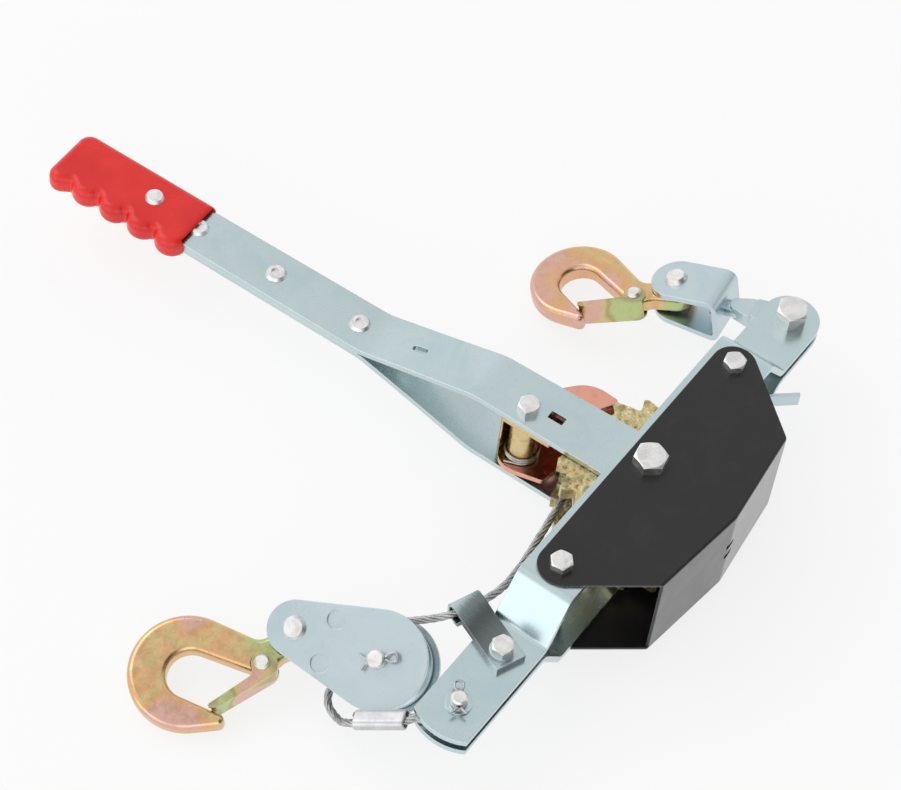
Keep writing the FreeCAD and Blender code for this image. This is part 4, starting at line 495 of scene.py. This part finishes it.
def rope_steel():
    """Galvanised strands, with wires that cross each strand along its own map, patchy grime, and darker
    grooves between the wires.
    """
    made, n = new_material()
    strand = n.axes(n.add("UVMap").outputs["UV"])
    along = n.maths("MULTIPLY", strand["X"], 2 * math.pi / WIRE_LAY)
    around = n.maths("MULTIPLY", strand["Y"], 2 * math.pi * WIRES_SEEN)
    wires = n.span(n.maths("SINE", n.maths("ADD", along, around)), 0.0, 1.0, -1.0, 1.0)
    grime = n.noise(n.place(), 150, 4, 0.6)
    colour = n.ramp(grime, [(0.30, (0.42, 0.42, 0.41)), (0.60, (0.64, 0.645, 0.64))])
    # Darker in the grooves between wires
    colour = n.mix(n.ramp(wires, [(0.0, 0.55), (0.45, 0.0)]), colour, (0.17, 0.165, 0.16))
    surface = n.bump(wires, 0.00010, 0.7)
    n.finish(Base_Color=colour, Metallic=1.0, Roughness=n.span(grime, 0.26, 0.44), Normal=surface)
    return made


def soft_metal(base, rough):
    """Bare metal with faint marks across its length."""
    made, n = new_material()
    cloud = n.noise(n.place(), 90, 4, 0.6)
    marks = n.noise(n.place((1, 1, 6)), 240, 3, 0.6)
    rounded, edge = n.soft_edges()
    colour = n.ramp(cloud, [(0.3, toned(base, 0.86)), (0.7, toned(base, 1.08))])
    # Paler edges: partly rubbed wear, partly a painted highlight
    colour = n.wear_and_painted_highlight(colour, edge, 0.3, (0.92, 0.92, 0.92))
    surface = n.bump(marks, 0.00014, 0.35, rounded)
    dull = n.span(marks, rough - 0.07, rough + 0.09)
    n.finish(Base_Color=colour, Metallic=1.0, Roughness=dull, Normal=surface)
    return made


def finishes():
    """Every material by name: those of the record's slots, and those that single nodes have for their own."""
    looks = {
        "zinc_frame": zinc(ALONG_X, BLUE_ZINC),
        "zinc_bright": bolt_steel(),
        "zinc_lever": zinc(ALONG_Y, LEVER_ZINC),
        "zinc_dull": zinc(EVEN, DULL_ZINC, rough=(0.24, 0.38), warmth=0.06),
        "black_guard": black_coat(),
        "steel_rope": rope_steel(),
        "aluminium_sleeve": soft_metal((0.60, 0.60, 0.61), 0.34),
        "yellow_wheel": chromate((OLIVE, LEMON, GOLD, LEMON), 70, (0.30, 0.46), cast=1.0, lumps=0.0022),
        "yellow_zinc": chromate((PINK, PINK, PINK, GOLD), 14, (0.18, 0.30)),
        "hook_finish": chromate((GREEN, GOLD, ORANGE, GOLD, ORANGE, ROSE), 17, (0.18, 0.32)),
        "latch_finish": chromate((GREEN, OLIVE, GOLD, ROSE), 34, (0.20, 0.34)),
        "tube_gold": chromate((OLIVE, GOLD, LEMON, GOLD), 60, (0.20, 0.32)),
        "strap_painted_reflection": strap_painted_reflection(*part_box("cable_guide_strap")),
        "spring_steel": soft_metal((0.55, 0.56, 0.58), 0.30),
        "red_grip": red_plastic(),
    }
    for name, look in looks.items():
        look.name = name
    return looks


def dress_nodes(looks):
    slots = {row["node"]: row["material_slot"] for row in frame["record"]["subparts"]}
    slots.update(OWN_LOOKS)
    for name, obj in frame["nodes"].items():
        obj.data.materials.clear()
        obj.data.materials.append(looks[slots[name]])


# Rope


def wound(r, pitch, turns, start, low, lead, tail):
    """Control points of a helix of radius r about the drum, with a straight lead and tail."""
    step = 2 * math.pi / TURN_POINTS
    count = round(turns * TURN_POINTS)
    first = math.radians(start)
    last = first + count * step
    high = low + pitch * turns
    # The spline touches the helix halfway between points that lie this far out
    wide = r / math.cos(step / 2)

    def around(radius, angle, z):
        return Vector((radius * math.cos(angle), radius * math.sin(angle), z))

    def along(angle):
        return Vector((-math.sin(angle), math.cos(angle), pitch / (2 * math.pi * r)))

    halves = [i + 0.5 for i in range(count)]
    middle = [around(wide, first + step * k, low + pitch * k / TURN_POINTS) for k in halves]
    begin = around(r, first, low) - along(first) * lead
    end = around(r, last, high) + along(last) * tail
    return [begin, *middle, end]


def spline_path(points):
    """Points at even steps along the NURBS spline that has the given control points, in the model's frame."""
    data = bpy.data.curves.new("route", "CURVE")
    data.dimensions = "3D"
    data.resolution_u = SPLINE_STEPS
    line = data.splines.new("NURBS")
    line.points.add(len(points) - 1)
    for spot, p in zip(line.points, points):
        spot.co = (*(DRUM + Vector(p) * MM), 1)
    line.order_u = 3
    line.use_endpoint_u = True
    holder = bpy.data.objects.new("route", data)
    mesh = bpy.data.meshes.new_from_object(holder)
    spots = np.array([v.co[:] for v in mesh.vertices])
    bpy.data.objects.remove(holder)
    bpy.data.curves.remove(data)
    bpy.data.meshes.remove(mesh)
    gone = np.r_[0, np.cumsum(np.linalg.norm(np.diff(spots, axis=0), axis=1))]
    marks = np.linspace(0, gone[-1], round(gone[-1] / ROPE_STEP) + 1)
    return np.stack([np.interp(marks, gone, spots[:, k]) for k in range(3)], 1), marks


def heading(line):
    """The line's direction at each of its points."""
    ahead = np.gradient(line, axis=0)
    return ahead / np.linalg.norm(ahead, axis=1)[:, None]


def carried_frames(line):
    """Two directions across the line at each point, carried along without twist."""
    ahead = heading(line)
    # Any direction well off the first heading will do to find the first side
    side = np.cross(ahead[0], (0.3, 0.2, 1.0))
    sides = []
    for way in ahead:
        side = side - way * side.dot(way)
        side = side / np.linalg.norm(side)
        sides.append(side)
    sides = np.array(sides)
    return sides, np.cross(ahead, sides)


def tube_mesh(tubes, name):
    """One mesh of closed tubes, each a line, a side, a radius and marks. The map has the marks in U and goes
    once round the tube in V."""
    spots, faces, maps = [], [], []
    for line, side, r, marks in tubes:
        ahead = heading(line)
        side = side - ahead * np.sum(side * ahead, axis=1)[:, None]
        side = side / np.linalg.norm(side, axis=1)[:, None]
        other = np.cross(ahead, side)
        base = len(spots)
        rings = len(line)
        turns = np.arange(RING) * 2 * math.pi / RING
        for i in range(rings):
            spots.extend(line[i] + r * (np.cos(t) * side[i] + np.sin(t) * other[i]) for t in turns)
        for i in range(rings - 1):
            near, far = base + i * RING, base + (i + 1) * RING
            for k in range(RING):
                after = (k + 1) % RING
                faces.append((near + k, near + after, far + after, far + k))
                low, high = k / RING, (k + 1) / RING
                maps.extend(((marks[i], low), (marks[i], high), (marks[i + 1], high), (marks[i + 1], low)))
        for ring, order in ((0, reversed(range(RING))), (rings - 1, range(RING))):
            faces.append(tuple(base + ring * RING + k for k in order))
            maps.extend([(marks[ring], 0.0)] * RING)
    mesh = bpy.data.meshes.new(name)
    mesh.from_pydata([tuple(s) for s in spots], [], faces)
    layer = mesh.uv_layers.new(name="UVMap")
    layer.data.foreach_set("uv", np.array(maps, dtype=np.float32).ravel())
    mesh.polygons.foreach_set("use_smooth", [len(f) == 4 for f in faces])
    return mesh


def rope(points, name, body, look, *stands_for):
    """Laid rope along the points' spline: a core, and strands that turn round it."""
    line, marks = spline_path(points)
    side, other = carried_frames(line)
    reach = ROPE_R - STRAND_R
    tubes = [(line, side, STRAND_R, marks)]
    for k in range(STRANDS):
        turn = (2 * math.pi * (marks / ROPE_LAY + k / STRANDS))[:, None]
        out = np.cos(turn) * side + np.sin(turn) * other
        tubes.append((line + reach * out, out, STRAND_R, marks))
    piece = bpy.data.objects.new(name, tube_mesh(tubes, name))
    piece.data.materials.append(look)
    bpy.context.scene.collection.objects.link(piece)
    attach(piece, body)
    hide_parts(*stands_for)


def add_ropes(look):
    rope(ROPE_ROUTE, "rope_run", "frame", look, "cable_run")
    outer = wound(r=39.85, pitch=5.5, turns=3, start=98, low=-11.6, lead=5, tail=20.5)
    rope(outer, "rope_winding", "drum", look, "cable_winding")
    inner = wound(r=34.7, pitch=5.05, turns=4.5, start=40, low=-11.5, lead=3, tail=3)
    rope(inner, "rope_inner_turns", "drum", look, "cable_inner_layers")


def main():
    stage()
    looks = finishes()
    dress_nodes(looks)
    add_ropes(looks["steel_rope"])


main()
